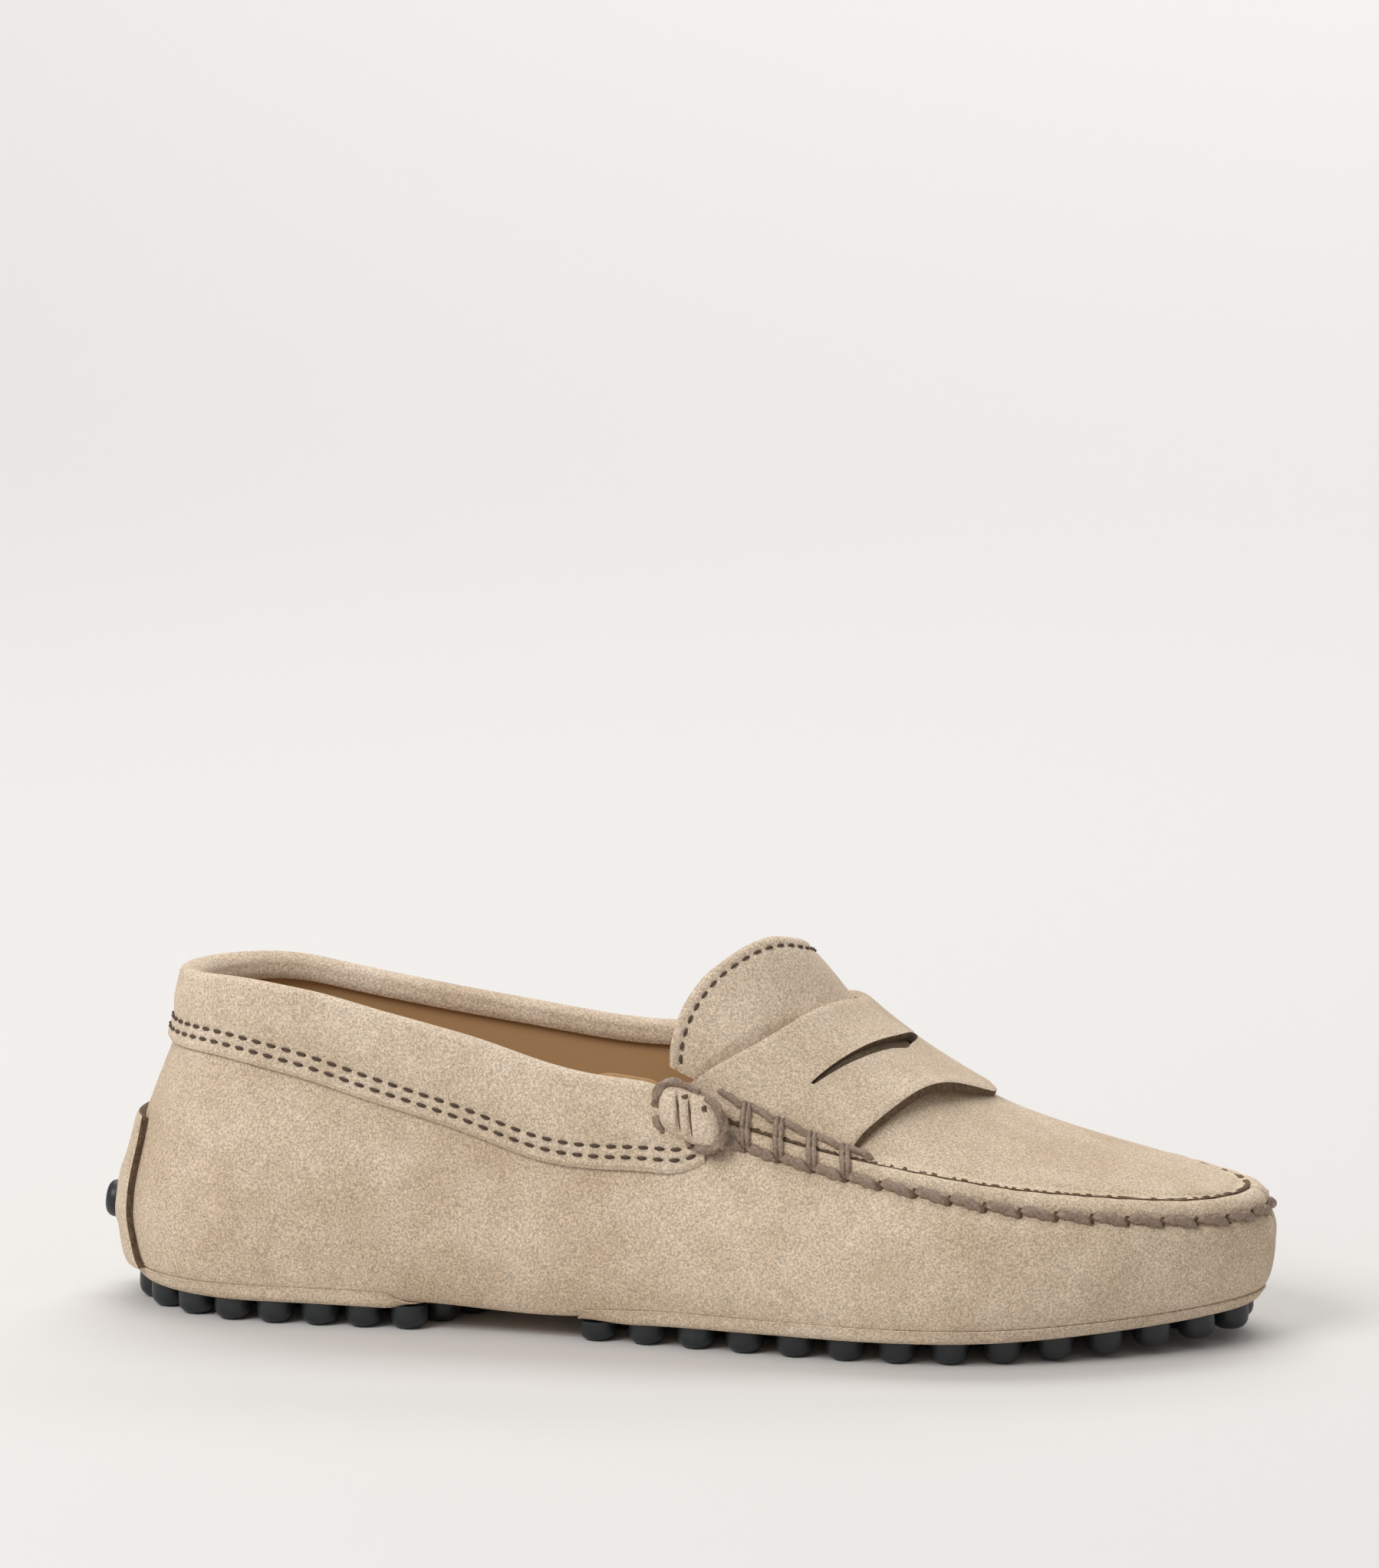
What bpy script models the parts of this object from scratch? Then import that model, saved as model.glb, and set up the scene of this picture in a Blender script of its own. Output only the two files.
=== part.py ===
"""A suede driving moccasin for the right foot, standing empty on its rubber studs.

Run it with: blender --background --python part.py
Metres. +X points to the toe, +Y to the medial side and +Z up, with the floor at Z = 0.
"""

import math

import bmesh
import bpy
import numpy as np
from mathutils import Vector

# Sizes of the last
LENGTH = 0.2475  # upper, heel to toe
BALL_WIDTH = 0.0870  # upper, across the ball of the foot
HEEL_HEIGHT = 0.0640  # underside of the upper to the top of the collar at the back
INSTEP_HEIGHT = 0.0595  # underside of the upper to its crown under the strap
TOE_SPRING = 0.0026  # lift of the studs at the toe

# Thicknesses and clearances
GAP = 0.0003  # between pieces that are glued or sewn together
CHORD = 0.0002  # more room over hollow curves, where flat facets stand out
WALL = 0.0018  # suede with its leather lining
BEAD = 0.0015  # how far the gathered edge of the seam stands out
STRAP = 0.0019
TONGUE = 0.0018
BAND = 0.0012  # suede of the collar band
ROLL = 0.0022  # padding that the collar band folds over, above the upper's edge
FOLD = 0.0050  # how far the collar band comes down inside
INSOLE = 0.0024
PAD = 0.0018  # rubber sheet that the studs are moulded on, with its suede
TAB_CORE = 0.0008  # rubber sheet behind the heel tab
TAB_COVER = 0.0012  # suede of the heel tab

# Studs
STUD_HEIGHT = 0.0045  # out of the pad
STUD_RADIUS = 0.0041
STUD_TIP = 0.0028  # radius of the flat tip
HEEL_PITCH = 0.0096
FORE_PITCH = 0.0108
TAB_STUD = 0.0026  # how far a stud stands out of the heel tab
ROW_PITCH = 0.93  # spacing of the rows inside a pad, as a share of its pitch
CROWDING = 0.90  # least spacing of two studs, as a share of the pitch

# The penny strap's slot
SLOT_WIDTH = 0.0014
SLOT_NOTCH = 0.0034  # width of the slot at the notch in its middle
NOTCH_REACH = 0.15  # half-length of the notch, as a share of half the strap

LATERAL, MEDIAL = -1, 1
SIDE_NAMES = {LATERAL: "lateral", MEDIAL: "medial"}


class Table:
    """Rows of shares under named columns, read smoothly between the rows by the first column."""

    def __init__(self, columns, *rows):
        self.values = {name: [row[i] for row in rows] for i, name in enumerate(columns)}
        self.knots = self.values[columns[0]]

    def __call__(self, name, at):
        knots, values = self.knots, self.values[name]
        if at <= knots[0]:
            return values[0]
        if at >= knots[-1]:
            return values[-1]
        i = max(n for n in range(len(knots) - 1) if knots[n] <= at)
        step = knots[i + 1] - knots[i]

        def slope(n):
            if n in (0, len(knots) - 1):
                return (values[i + 1] - values[i]) / step
            return (values[n + 1] - values[n - 1]) / (knots[n + 1] - knots[n - 1])

        t = (at - knots[i]) / step
        return (
            values[i] * (1 + 2 * t) * (1 - t) ** 2
            + slope(i) * step * t * (1 - t) ** 2
            + values[i + 1] * t * t * (3 - 2 * t)
            + slope(i + 1) * step * t * t * (t - 1)
        )


# Sections from heel to toe. Half-breadths and the centre line are shares of BALL_WIDTH, the height of
# the widest place is a share of INSTEP_HEIGHT, and the lift is a share of TOE_SPRING.
SECTIONS = Table(
    ("at", "lateral", "medial", "sole_lateral", "sole_medial", "widest", "lift", "centre"),
    (0.00, 0.350, 0.350, 0.322, 0.322, 0.24, 0.0, 0.000),
    (0.10, 0.356, 0.356, 0.325, 0.315, 0.26, 0.0, 0.000),
    (0.20, 0.364, 0.356, 0.328, 0.300, 0.28, 0.0, 0.000),
    (0.30, 0.368, 0.350, 0.325, 0.270, 0.28, -0.2, 0.000),
    (0.40, 0.385, 0.350, 0.340, 0.245, 0.28, -0.6, 0.000),
    (0.50, 0.425, 0.379, 0.378, 0.275, 0.27, -0.1, 0.000),
    (0.60, 0.471, 0.440, 0.425, 0.355, 0.24, 0.0, 0.000),
    (0.70, 0.500, 0.480, 0.455, 0.415, 0.22, 0.0, 0.000),
    (0.80, 0.494, 0.489, 0.447, 0.435, 0.21, 0.1, 0.010),
    (0.90, 0.458, 0.466, 0.405, 0.412, 0.20, 0.5, 0.030),
    (1.00, 0.400, 0.425, 0.340, 0.365, 0.20, 1.0, 0.050),
)

# The finished top line of the collar: half-breadths as shares of BALL_WIDTH, heights of HEEL_HEIGHT.
COLLAR = Table(
    ("at", "lateral", "medial", "rise_lateral", "rise_medial"),
    (0.00, 0.276, 0.276, 1.010, 1.010),
    (0.07, 0.280, 0.280, 1.027, 0.995),
    (0.14, 0.290, 0.290, 1.005, 0.945),
    (0.22, 0.312, 0.312, 0.950, 0.895),
    (0.31, 0.333, 0.333, 0.890, 0.852),
    (0.39, 0.350, 0.350, 0.826, 0.822),
    (0.45, 0.356, 0.356, 0.788, 0.802),
    (0.50, 0.362, 0.374, 0.775, 0.785),
)

# The seam between side and plug, and the crown line of the plug: half-breadths as shares of
# BALL_WIDTH, heights of INSTEP_HEIGHT.
SEAM = Table(
    ("at", "lateral", "medial", "rise", "crown"),
    (0.45, 0.356, 0.370, 0.800, 1.640),
    (0.50, 0.366, 0.388, 0.750, 1.430),
    (0.56, 0.370, 0.408, 0.680, 1.270),
    (0.60, 0.370, 0.416, 0.638, 1.125),
    (0.64, 0.370, 0.420, 0.600, 0.978),
    (0.69, 0.368, 0.420, 0.561, 0.828),
    (0.76, 0.362, 0.408, 0.512, 0.672),
    (0.81, 0.354, 0.394, 0.476, 0.596),
    (0.87, 0.348, 0.380, 0.438, 0.522),
    (0.92, 0.350, 0.372, 0.406, 0.470),
    (0.96, 0.356, 0.366, 0.382, 0.426),
    (1.00, 0.360, 0.360, 0.368, 0.368),
)

# How far each level of the wall stops short of the heel and of the toe, as shares of LENGTH. Level -1
# is the middle of the underside, 0 its edge, 1 the widest place and 2 the top line.
ENDS = Table(
    ("level", "heel", "toe"),
    (-1.0, 0.1050, 0.1050),
    (-0.5, 0.0520, 0.0580),
    (0.00, 0.0185, 0.0230),
    (0.33, 0.0060, 0.0085),
    (0.67, 0.0010, 0.0020),
    (1.00, 0.0000, 0.0000),
    (1.25, 0.0110, 0.0010),
    (1.50, 0.0320, 0.0045),
    (1.75, 0.0480, 0.0130),
    (2.00, 0.0555, 0.0240),
)

HEEL_ROUND, TOE_ROUND = 0.140, 0.270  # shares of the length over which the ends round off
THROAT = 0.515  # where the plug begins at the seam, as a share of the length
THROAT_BOW = 0.150  # how much further forward the plug begins at its middle
DOME = 2.2  # power of the plug's cross-section, from flat in the middle to steep at the seam
RIDGE = 0.22  # where the instep is highest, from the middle towards the medial seam

# Mesh rows of the wall: levels up to the widest place, and depths under the top line for the groove,
# side, top and inner edge of the raised seam, with the share of BEAD that each stands out.
LEVELS = (-1.0, -0.5, 0.0, 0.34, 0.68, 1.0)
BEAD_ROWS = ((0.0048, -0.40), (0.0036, 0.80), (0.0014, 1.00), (0.0, -0.30))
BEAD_START, BEAD_FULL = 0.549, 0.575  # where the raised seam comes out from under the seam's end
PLUG_STEPS = 12  # cells across the plug
STRAP_STEPS = 20  # cells across the strap
STUD_SIDES = 8

PAD_LEVEL = 0.30  # the pads' edges
PAD_EDGE = 0.0008  # thickness to which the pads are skived at their edges
STUD_LEVEL = -0.11  # the outer row of studs
HEEL_PAD = (0.0, 0.312)  # shares of the length from the heel that it covers
FORE_PAD = (0.418, 1.0)
PAD_CORNERS = (0.050, 0.022)  # how far the corners of the pads' cut ends round off, in lengths
STUD_INSET = 0.0045  # the outer row of studs, in from the pads' cut ends

BAND_END = 0.4845  # where the collar band stops against the seam's end
BAND_DROP = Table(  # depth of the collar band, as a share of HEEL_HEIGHT
    ("at", "drop"),
    (0.00, 0.245),
    (0.07, 0.262),
    (0.13, 0.275),
    (0.20, 0.287),
    (0.28, 0.300),
    (0.37, 0.312),
    (0.43, 0.300),
    (0.48, 0.280),
    (0.50, 0.260),
)

# Edges of the strap and its slot in lengths, from the lateral seam at -1 over the ridge of the instep
# at 0 to the medial seam at 1.
STRAP_EDGES = Table(
    ("place", "rear", "front", "slot"),
    (-1.00, 0.496, 0.656, 0.586),
    (-0.95, 0.512, 0.663, 0.595),
    (-0.75, 0.569, 0.686, 0.622),
    (-0.50, 0.603, 0.709, 0.648),
    (-0.20, 0.625, 0.738, 0.669),
    (0.05, 0.634, 0.756, 0.677),
    (0.30, 0.629, 0.755, 0.673),
    (0.60, 0.600, 0.722, 0.648),
    (0.80, 0.562, 0.692, 0.622),
    (1.00, 0.500, 0.662, 0.590),
)
# Edges of the tongue in lengths, from the ridge of the instep to either seam.
TONGUE_EDGES = Table(
    ("from_ridge", "rear", "front"),
    (0.00, 0.580, 0.705),
    (0.20, 0.573, 0.700),
    (0.35, 0.556, 0.692),
    (0.50, 0.535, 0.680),
    (0.65, 0.512, 0.655),
    (0.80, 0.496, 0.620),
    (0.95, 0.489, 0.570),
)
STRAP_REACH = 0.955  # how near the strap's ends come to the seam
TONGUE_REACH = 0.91
TONGUE_DIP = 0.026  # length over which the tongue dips under the plug
STRAP_LIFT = 0.0007  # how far the front edge stands off the plug at the ridge
SLOT_REACH = 0.80  # the slot's half-length

SEAM_END = (0.4870, 0.546)  # the rolled ends of the seam, in lengths
SEAM_END_DROP = 0.0062
SEAM_END_RISE = 0.0036
SEAM_END_HEIGHT = 0.0042

# The heel tab: levels of its lower and upper edge, half-breadths and studs as (side, height) shares.
TAB_LEVELS = (0.34, 1.36)
TAB_HALF = (0.0170, 0.0125)
TAB_STUDS = ((-0.20, 0.60), (0.44, 0.17))


def end_rounding(at):
    """Share of the full breadth that is left near the heel and the toe."""
    inside = min(at / HEEL_ROUND, (1 - at) / TOE_ROUND, 1.0)
    return math.sqrt(max(0.0, 1 - (1 - inside) ** 2))


def bottom(at):
    """Height of the upper's underside."""
    return STUD_HEIGHT + PAD + GAP + TOE_SPRING * SECTIONS("lift", at)


def top_line(at, side):
    """(half-breadth, height) of the top of the wall: the collar behind the throat, the seam before it."""
    name = SIDE_NAMES[side]
    share = min(1.0, max(0.0, (at - THROAT + 0.08) / 0.10))
    share = share * share * (3 - 2 * share)
    collar = HEEL_HEIGHT * COLLAR("rise_" + name, at) - ROLL
    seam = INSTEP_HEIGHT * SEAM("rise", at)
    across = (1 - share) * COLLAR(name, at) + share * SEAM(name, at)
    return BALL_WIDTH * across, bottom(at) + (1 - share) * collar + share * seam


def along(at, level):
    start, end = LENGTH * ENDS("heel", level), LENGTH * (1 - ENDS("toe", level))
    return start + at * (end - start)


def wall(at, side, level):
    """A point of the upper's smooth outer face, without the raised seam."""
    name = SIDE_NAMES[side]
    sole = BALL_WIDTH * SECTIONS("sole_" + name, at)
    broad = BALL_WIDTH * SECTIONS(name, at)
    belly = INSTEP_HEIGHT * SECTIONS("widest", at)
    base = bottom(at)
    if level <= 0:
        across, height = (1 + level) * sole, base
    elif level <= 1:
        across = sole + (broad - sole) * math.sin(level * math.pi / 2)
        height = base + belly * (1 - math.cos(level * math.pi / 2))
    else:
        edge, top = top_line(at, side)
        lean = min(1.0, max(0.0, (at - 0.35) / 0.35))
        low, t = base + belly, level - 1
        pull = edge + (0.10 + 0.45 * lean) * (broad - edge)
        reach = low + (0.62 + 0.20 * lean) * (top - low)
        knots = ((broad, low), (broad, low + 0.42 * (top - low)), (pull, reach), (edge, top))
        weights = ((1 - t) ** 3, 3 * t * (1 - t) ** 2, 3 * t * t * (1 - t), t**3)
        across = sum(w * k[0] for w, k in zip(weights, knots))
        height = sum(w * k[1] for w, k in zip(weights, knots))
    middle = BALL_WIDTH * SECTIONS("centre", at)
    return Vector((along(at, level), middle + side * across * end_rounding(at), height))


def crown(at, across):
    """A point of the plug's outer face. across runs from -1 at the lateral seam to 1 at the medial one."""
    lateral, medial = top_line(at, LATERAL), top_line(at, MEDIAL)
    edge = lateral[0] if across < 0 else medial[0]
    level = lateral[1] + (medial[1] - lateral[1]) * (1 + across) / 2
    peak = bottom(at) + INSTEP_HEIGHT * SEAM("crown", at)
    middle = BALL_WIDTH * SECTIONS("centre", at)
    from_ridge = (across - RIDGE) / (1 + RIDGE if across < RIDGE else 1 - RIDGE)
    return Vector(
        (
            along(at, 2.0),
            middle + across * edge * end_rounding(at),
            level + (peak - level) * (1 - abs(from_ridge) ** DOME),
        )
    )


def plug_rear(from_ridge):
    """Where the plug begins, as a share of the length."""
    return THROAT + THROAT_BOW * (1 - from_ridge**2)


def across_at(from_ridge):
    """Place across the plug, from -1 to 1 between the seams, of a share from the ridge to a seam."""
    return RIDGE + from_ridge * (1 + RIDGE if from_ridge < 0 else 1 - RIDGE)


def wall_levels(at, side):
    """(level, share of BEAD) of the mesh rows from the middle of the underside to the top line."""
    rise = top_line(at, side)[1] - bottom(at) - INSTEP_HEIGHT * SECTIONS("widest", at)
    bead = [(2 - drop / rise, share) for drop, share in BEAD_ROWS]
    body = [*LEVELS, *steps(1.0, bead[0][0], 4)[1:-1]]
    return [(level, 0.0) for level in body] + bead


def normal(surface, *where, side=1):
    """Unit normal of a surface of two numbers, by small differences."""
    step = 1e-3
    u, v = where
    along_u = surface(u + step, v) - surface(u - step, v)
    along_v = surface(u, v + step) - surface(u, v - step)
    return side * along_u.cross(along_v).normalized()


def vertex_normals(points, faces):
    """Area-weighted normals of a mesh."""
    points = np.array(points, float)
    normals = np.zeros_like(points)
    for face in faces:
        corners = points[list(face)]
        area = sum(
            np.cross(corners[i] - corners[0], corners[i + 1] - corners[0])
            for i in range(1, len(corners) - 1)
        )
        normals[list(face)] += area
    return normals / np.linalg.norm(normals, axis=1)[:, None]


def material(name, colour, roughness):
    made = bpy.data.materials.new(name)
    made.use_nodes = True
    shader = made.node_tree.nodes["Principled BSDF"]
    shader.inputs["Base Color"].default_value = (*colour, 1.0)
    shader.inputs["Roughness"].default_value = roughness
    made.diffuse_color = (*colour, 1.0)
    return made


def add_object(name, points, faces, finish):
    """A mesh object with its faces turned outwards and shaded smooth."""
    mesh = bpy.data.meshes.new(name)
    mesh.from_pydata([tuple(p) for p in points], [], faces)
    cage = bmesh.new()
    cage.from_mesh(mesh)
    bmesh.ops.recalc_face_normals(cage, faces=cage.faces)
    cage.to_mesh(mesh)
    cage.free()
    mesh.shade_smooth()
    mesh.set_sharp_from_angle(angle=math.radians(40))
    mesh.materials.append(finish)
    made = bpy.data.objects.new(name, mesh)
    bpy.context.scene.collection.objects.link(made)
    return made


def thick(name, faces, outer, inner, finish):
    """A closed solid between two sheets of the same faces, walled along every open edge."""
    count = len(outer)
    edges = {}
    for face in faces:
        for a, b in zip(face, face[1:] + face[:1]):
            edges[(a, b)] = edges.get((a, b), 0) + 1
    rim = [(a, b) for a, b in edges if (b, a) not in edges]
    solid = [tuple(face) for face in faces]
    solid += [tuple(count + i for i in reversed(face)) for face in faces]
    solid += [(b, a, count + a, count + b) for a, b in rim]
    return add_object(name, [*outer, *inner], solid, finish)


def grid_faces(rows, columns, holes=()):
    """Cells of a grid of points listed row by row, without the cells in holes."""
    return [
        [r * columns + c, (r + 1) * columns + c, (r + 1) * columns + c + 1, r * columns + c + 1]
        for r in range(rows - 1)
        for c in range(columns - 1)
        if (r, c) not in holes
    ]


def steps(start, end, count):
    return [start + (end - start) * i / count for i in range(count + 1)]


def stations():
    """Places of the upper's sections, closer together where the ends round off."""
    heel = [HEEL_ROUND * (1 - math.cos(a)) for a in steps(0, math.pi / 2, 5)]
    rear = [*steps(HEEL_ROUND, BAND_END, 7)[1:], THROAT]
    fore = [BEAD_START, *steps(BEAD_FULL, 1 - TOE_ROUND, 3)]
    toe = [1 - TOE_ROUND * (1 - math.cos(a)) for a in steps(math.pi / 2, 0, 8)[1:]]
    return heel + rear + fore + toe


def make_upper(finish):
    """The moccasin body, wrapped under the foot, with the plug in its raised seam. One hollow solid."""
    places = stations()
    last, throat, rows = len(places) - 1, places.index(THROAT), len(wall_levels(0.0, LATERAL))
    ids, points, ridge, faces = {}, [], [], []

    def vertex(key, point, stand_out=0.0):
        if key not in ids:
            ids[key] = len(points)
            points.append(point)
            ridge.append(stand_out)
        return ids[key]

    def body_key(k, side, row):
        return (k, 0 if row == 0 or k in (0, last) else side, row)

    for k, at in enumerate(places):
        fade = min(1.0, max(0.0, (at - BEAD_START) / (BEAD_FULL - BEAD_START)))
        for side in (LATERAL, MEDIAL):
            for row, (level, share) in enumerate(wall_levels(at, side)):
                vertex(body_key(k, side, row), wall(at, side, level), BEAD * share * fade)
        if throat <= k < last:
            ease = (1 - at) / (1 - THROAT)
            for m in range(1, PLUG_STEPS):
                place = 2 * m / PLUG_STEPS - 1
                bow = (plug_rear(place) - THROAT) * ease
                vertex((k, "plug", m), crown(at + bow, across_at(place)))

    def plug_id(k, m):
        if k == last or m in (0, PLUG_STEPS):
            side = LATERAL if m == 0 else MEDIAL
            return ids[body_key(k, side, rows - 1)]
        return ids[(k, "plug", m)]

    for k in range(last):
        for side in (LATERAL, MEDIAL):
            for row in range(rows - 1):
                face = [ids[body_key(k + i, side, row + j)] for i, j in ((0, 0), (1, 0), (1, 1), (0, 1))]
                faces.append(face if side == LATERAL else face[::-1])
        if k >= throat:
            for m in range(PLUG_STEPS):
                face = [plug_id(k, m), plug_id(k + 1, m), plug_id(k + 1, m + 1), plug_id(k, m + 1)]
                faces.append(list(dict.fromkeys(face)))
    normals = vertex_normals(points, faces)
    points = np.array(points, float)
    outer = points + normals * np.array(ridge)[:, None]
    inner = points - normals * WALL
    return thick("upper", faces, outer, inner, finish)


def band_level(at, side, height):
    """Level of the wall at a height, between the widest place and the top line."""
    low, high = 1.0, 2.0
    for _ in range(24):
        middle = (low + high) / 2
        if wall(at, side, middle).z < height:
            low = middle
        else:
            high = middle
    return low


def make_collar_band(finish):
    """Suede band round the collar, folded over a soft roll to the inside."""
    walk = [(at, LATERAL) for at in reversed(steps(HEEL_ROUND, BAND_END, 7))]
    walk += [(HEEL_ROUND * (1 - math.cos(a)), LATERAL) for a in steps(math.pi / 2, 0, 5)[1:-1]]
    walk += [(0.0, MEDIAL)] + [(at, MEDIAL) for at, _ in reversed(walk)]
    points = []
    for at, side in walk:
        top = wall(at, side, 2.0)
        drop = HEEL_HEIGHT * BAND_DROP("drop", at)
        low = band_level(at, side, top.z + ROLL - drop)
        out = outward(at, side)
        leg = [
            (wall(at, side, level), outward(at, side, level))
            for level in steps(low, 2.0, 3)
        ]
        outer = [p + n * (GAP + CHORD + BAND) for p, n in leg]
        clear = [p + n * (GAP + CHORD) for p, n in leg]
        up = Vector((0, 0, 1))
        middle = top - out * (WALL / 2)
        half = WALL / 2 + GAP + CHORD + BAND
        roll = [
            middle + out * (half * math.cos(a)) + up * (GAP + (ROLL - GAP) * math.sin(a))
            for a in steps(math.pi / 8, 7 * math.pi / 8, 3)
        ]
        inner = top - out * (WALL + GAP)
        fold = [inner - out * BAND, inner - out * BAND - up * FOLD, inner - up * FOLD, inner + up * GAP]
        crest = [top + up * GAP]
        points.append([*outer, *roll, *fold, *crest, *reversed(clear[:-1])])
    return tube("collar_band", points, finish)


def outward(at, side, level=2.0):
    """Unit normal of the wall, pointing out of the shoe."""
    if at <= 1e-6:
        rise = wall(0.0, side, min(2.0, level + 0.01)) - wall(0.0, side, level - 0.01)
        return Vector((-rise.z, 0.0, rise.x)).normalized()
    return normal(lambda u, v: wall(u, side, v), at, min(level, 1.995), side=-side)


def tube(name, rings, finish):
    """A closed solid through rings of the same number of points, capped at both ends."""
    count = len(rings[0])
    faces = [
        (r * count + c, r * count + (c + 1) % count, (r + 1) * count + (c + 1) % count, (r + 1) * count + c)
        for r in range(len(rings) - 1)
        for c in range(count)
    ]
    faces.append(tuple(reversed(range(count))))
    faces.append(tuple((len(rings) - 1) * count + c for c in range(count)))
    return add_object(name, [p for ring in rings for p in ring], faces, finish)


def make_strap(finish):
    """The penny strap over the instep, with its slot and the notch in the slot's middle."""
    places = steps(-STRAP_REACH, STRAP_REACH, STRAP_STEPS)
    lower, upper, holes = [], [], set()
    for c, place in enumerate(places):
        rear, front = STRAP_EDGES("rear", place), STRAP_EDGES("front", place)
        notch = max(0.0, 1 - abs(place) / NOTCH_REACH)
        slot_rear = STRAP_EDGES("slot", place)
        slot_front = slot_rear + (SLOT_WIDTH + (SLOT_NOTCH - SLOT_WIDTH) * notch) / LENGTH
        rows = (rear, (rear + slot_rear) / 2, slot_rear, slot_front, (front + slot_front) / 2, front)
        if max(abs(place), abs(places[min(c + 1, STRAP_STEPS)])) <= SLOT_REACH:
            holes.add((c, 2))
        across = across_at(place)
        for at in rows:
            face = normal(crown, at, across)
            point = crown(at, across)
            ahead = max(0.0, (at - rear) / (front - rear))
            lift = GAP + STRAP_LIFT * ahead**2 * (1 - place**2)
            lower.append(point + face * lift)
            upper.append(point + face * (lift + STRAP))
    return thick("saddle_strap", grid_faces(STRAP_STEPS + 1, 6, holes), upper, lower, finish)


def make_tongue(finish):
    """The tongue, from under the plug's rear edge up behind the strap."""
    upper, lower = [], []
    columns = [2 * i / PLUG_STEPS - 1 for i in range(1, PLUG_STEPS)]
    for place in [-TONGUE_REACH, *columns, TONGUE_REACH]:
        rear, front = TONGUE_EDGES("rear", abs(place)), TONGUE_EDGES("front", abs(place))
        plug = plug_rear(place)
        places = [*steps(rear, plug - TONGUE_DIP, 3), plug - TONGUE_DIP / 3, front]
        for at, sink in zip(places, (0, 0, 0, 0, 1, 1)):
            face = normal(crown, at, across_at(place))
            point = crown(at, across_at(place)) - face * (GAP + (2 * CHORD + WALL) * sink)
            upper.append(point)
            lower.append(point - face * TONGUE)
    return thick("tongue", grid_faces(PLUG_STEPS + 1, 6), upper, lower, finish)


def make_seam_end(side, finish):
    """The rolled suede at the end of the seam, against the end of the collar band."""
    start, end = SEAM_END
    rings = []
    for share in steps(0, 1, 6):
        at = start + (end - start) * share
        swell = math.sqrt(max(0.0, 1 - (2 * share - 1) ** 2)) * 0.80 + 0.20
        top = wall(at, side, 2.0)
        high = band_level(at, side, top.z - 0.0006)
        low = band_level(at, side, top.z - 0.0010 - SEAM_END_DROP * (0.55 + 0.45 * swell))
        base = [wall(at, side, level) + outward(at, side, level) * GAP for level in steps(low, high, 3)]
        arch = []
        for turn in steps(0, math.pi, 6)[1:-1]:
            level = low + (high - low) * (1 - math.cos(turn)) / 2
            height = GAP + SEAM_END_HEIGHT * swell * math.sin(turn) ** 0.7
            rise = Vector((0, 0, SEAM_END_RISE * swell * (1 - math.cos(turn)) / 2))
            arch.append(wall(at, side, level) + outward(at, side, level) * height + rise)
        rings.append([*arch, *reversed(base)])
    return tube("seam_end_" + SIDE_NAMES[side], rings, finish)


def make_insole(finish):
    """The sock that lines the inside of the sole."""
    floor, top = [], []
    places = [0.0, *[HEEL_ROUND * (1 - math.cos(a)) for a in steps(0, math.pi / 2, 4)][1:]]
    places += steps(HEEL_ROUND, 1 - TOE_ROUND, 9)[1:]
    places += [1 - TOE_ROUND * (1 - math.cos(a)) for a in steps(math.pi / 2, 0, 5)[1:]]
    ids, faces = {}, []
    levels = (-0.10, -0.5, -1.0)
    for k, at in enumerate(places):
        for side in (LATERAL, MEDIAL):
            for row, level in enumerate(levels):
                key = (k, 0 if row == 2 or k in (0, len(places) - 1) else side, row)
                if key not in ids:
                    ids[key] = len(floor)
                    point = wall(at, side, level)
                    floor.append(point + Vector((0, 0, WALL + GAP)))
                    top.append(point + Vector((0, 0, WALL + GAP + INSOLE)))
    for k in range(len(places) - 1):
        for side in (LATERAL, MEDIAL):
            for row in range(2):
                face = []
                for i, j in ((0, 0), (1, 0), (1, 1), (0, 1)):
                    end = row + j == 2 or k + i in (0, len(places) - 1)
                    face.append(ids[(k + i, 0 if end else side, row + j)])
                faces.append(face if side == LATERAL else face[::-1])
    return thick("insole", faces, top, floor, finish)


def pad_point(at, across, depth):
    """A point under the upper. across runs from -1 to 1 between the pads' edges."""
    side = LATERAL if across < 0 else MEDIAL
    level = abs(across) * (1 + PAD_LEVEL) - 1
    down = outward(at, side, level) if level > 0 else Vector((0, 0, -1))
    skived = abs(across) == 1 and depth > GAP
    return wall(at, side, level) + down * (PAD_EDGE if skived else depth)


def stud(centre, axis, foot, radii):
    """Rings of a stud with flat sides from centre, inside the pad, to a flat tip at foot."""
    turn = Vector((0, 0, 1)).rotation_difference(axis)
    rings = []
    for share, radius in radii:
        middle = centre.lerp(foot, share)
        rings.append(
            [
                middle + turn @ Vector((radius * math.cos(a), radius * math.sin(a), 0))
                for a in steps(0, 2 * math.pi, STUD_SIDES)[:-1]
            ]
        )
    return rings


STUD_SHAPE = ((0.0, STUD_RADIUS), (1.0, STUD_TIP))


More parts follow.
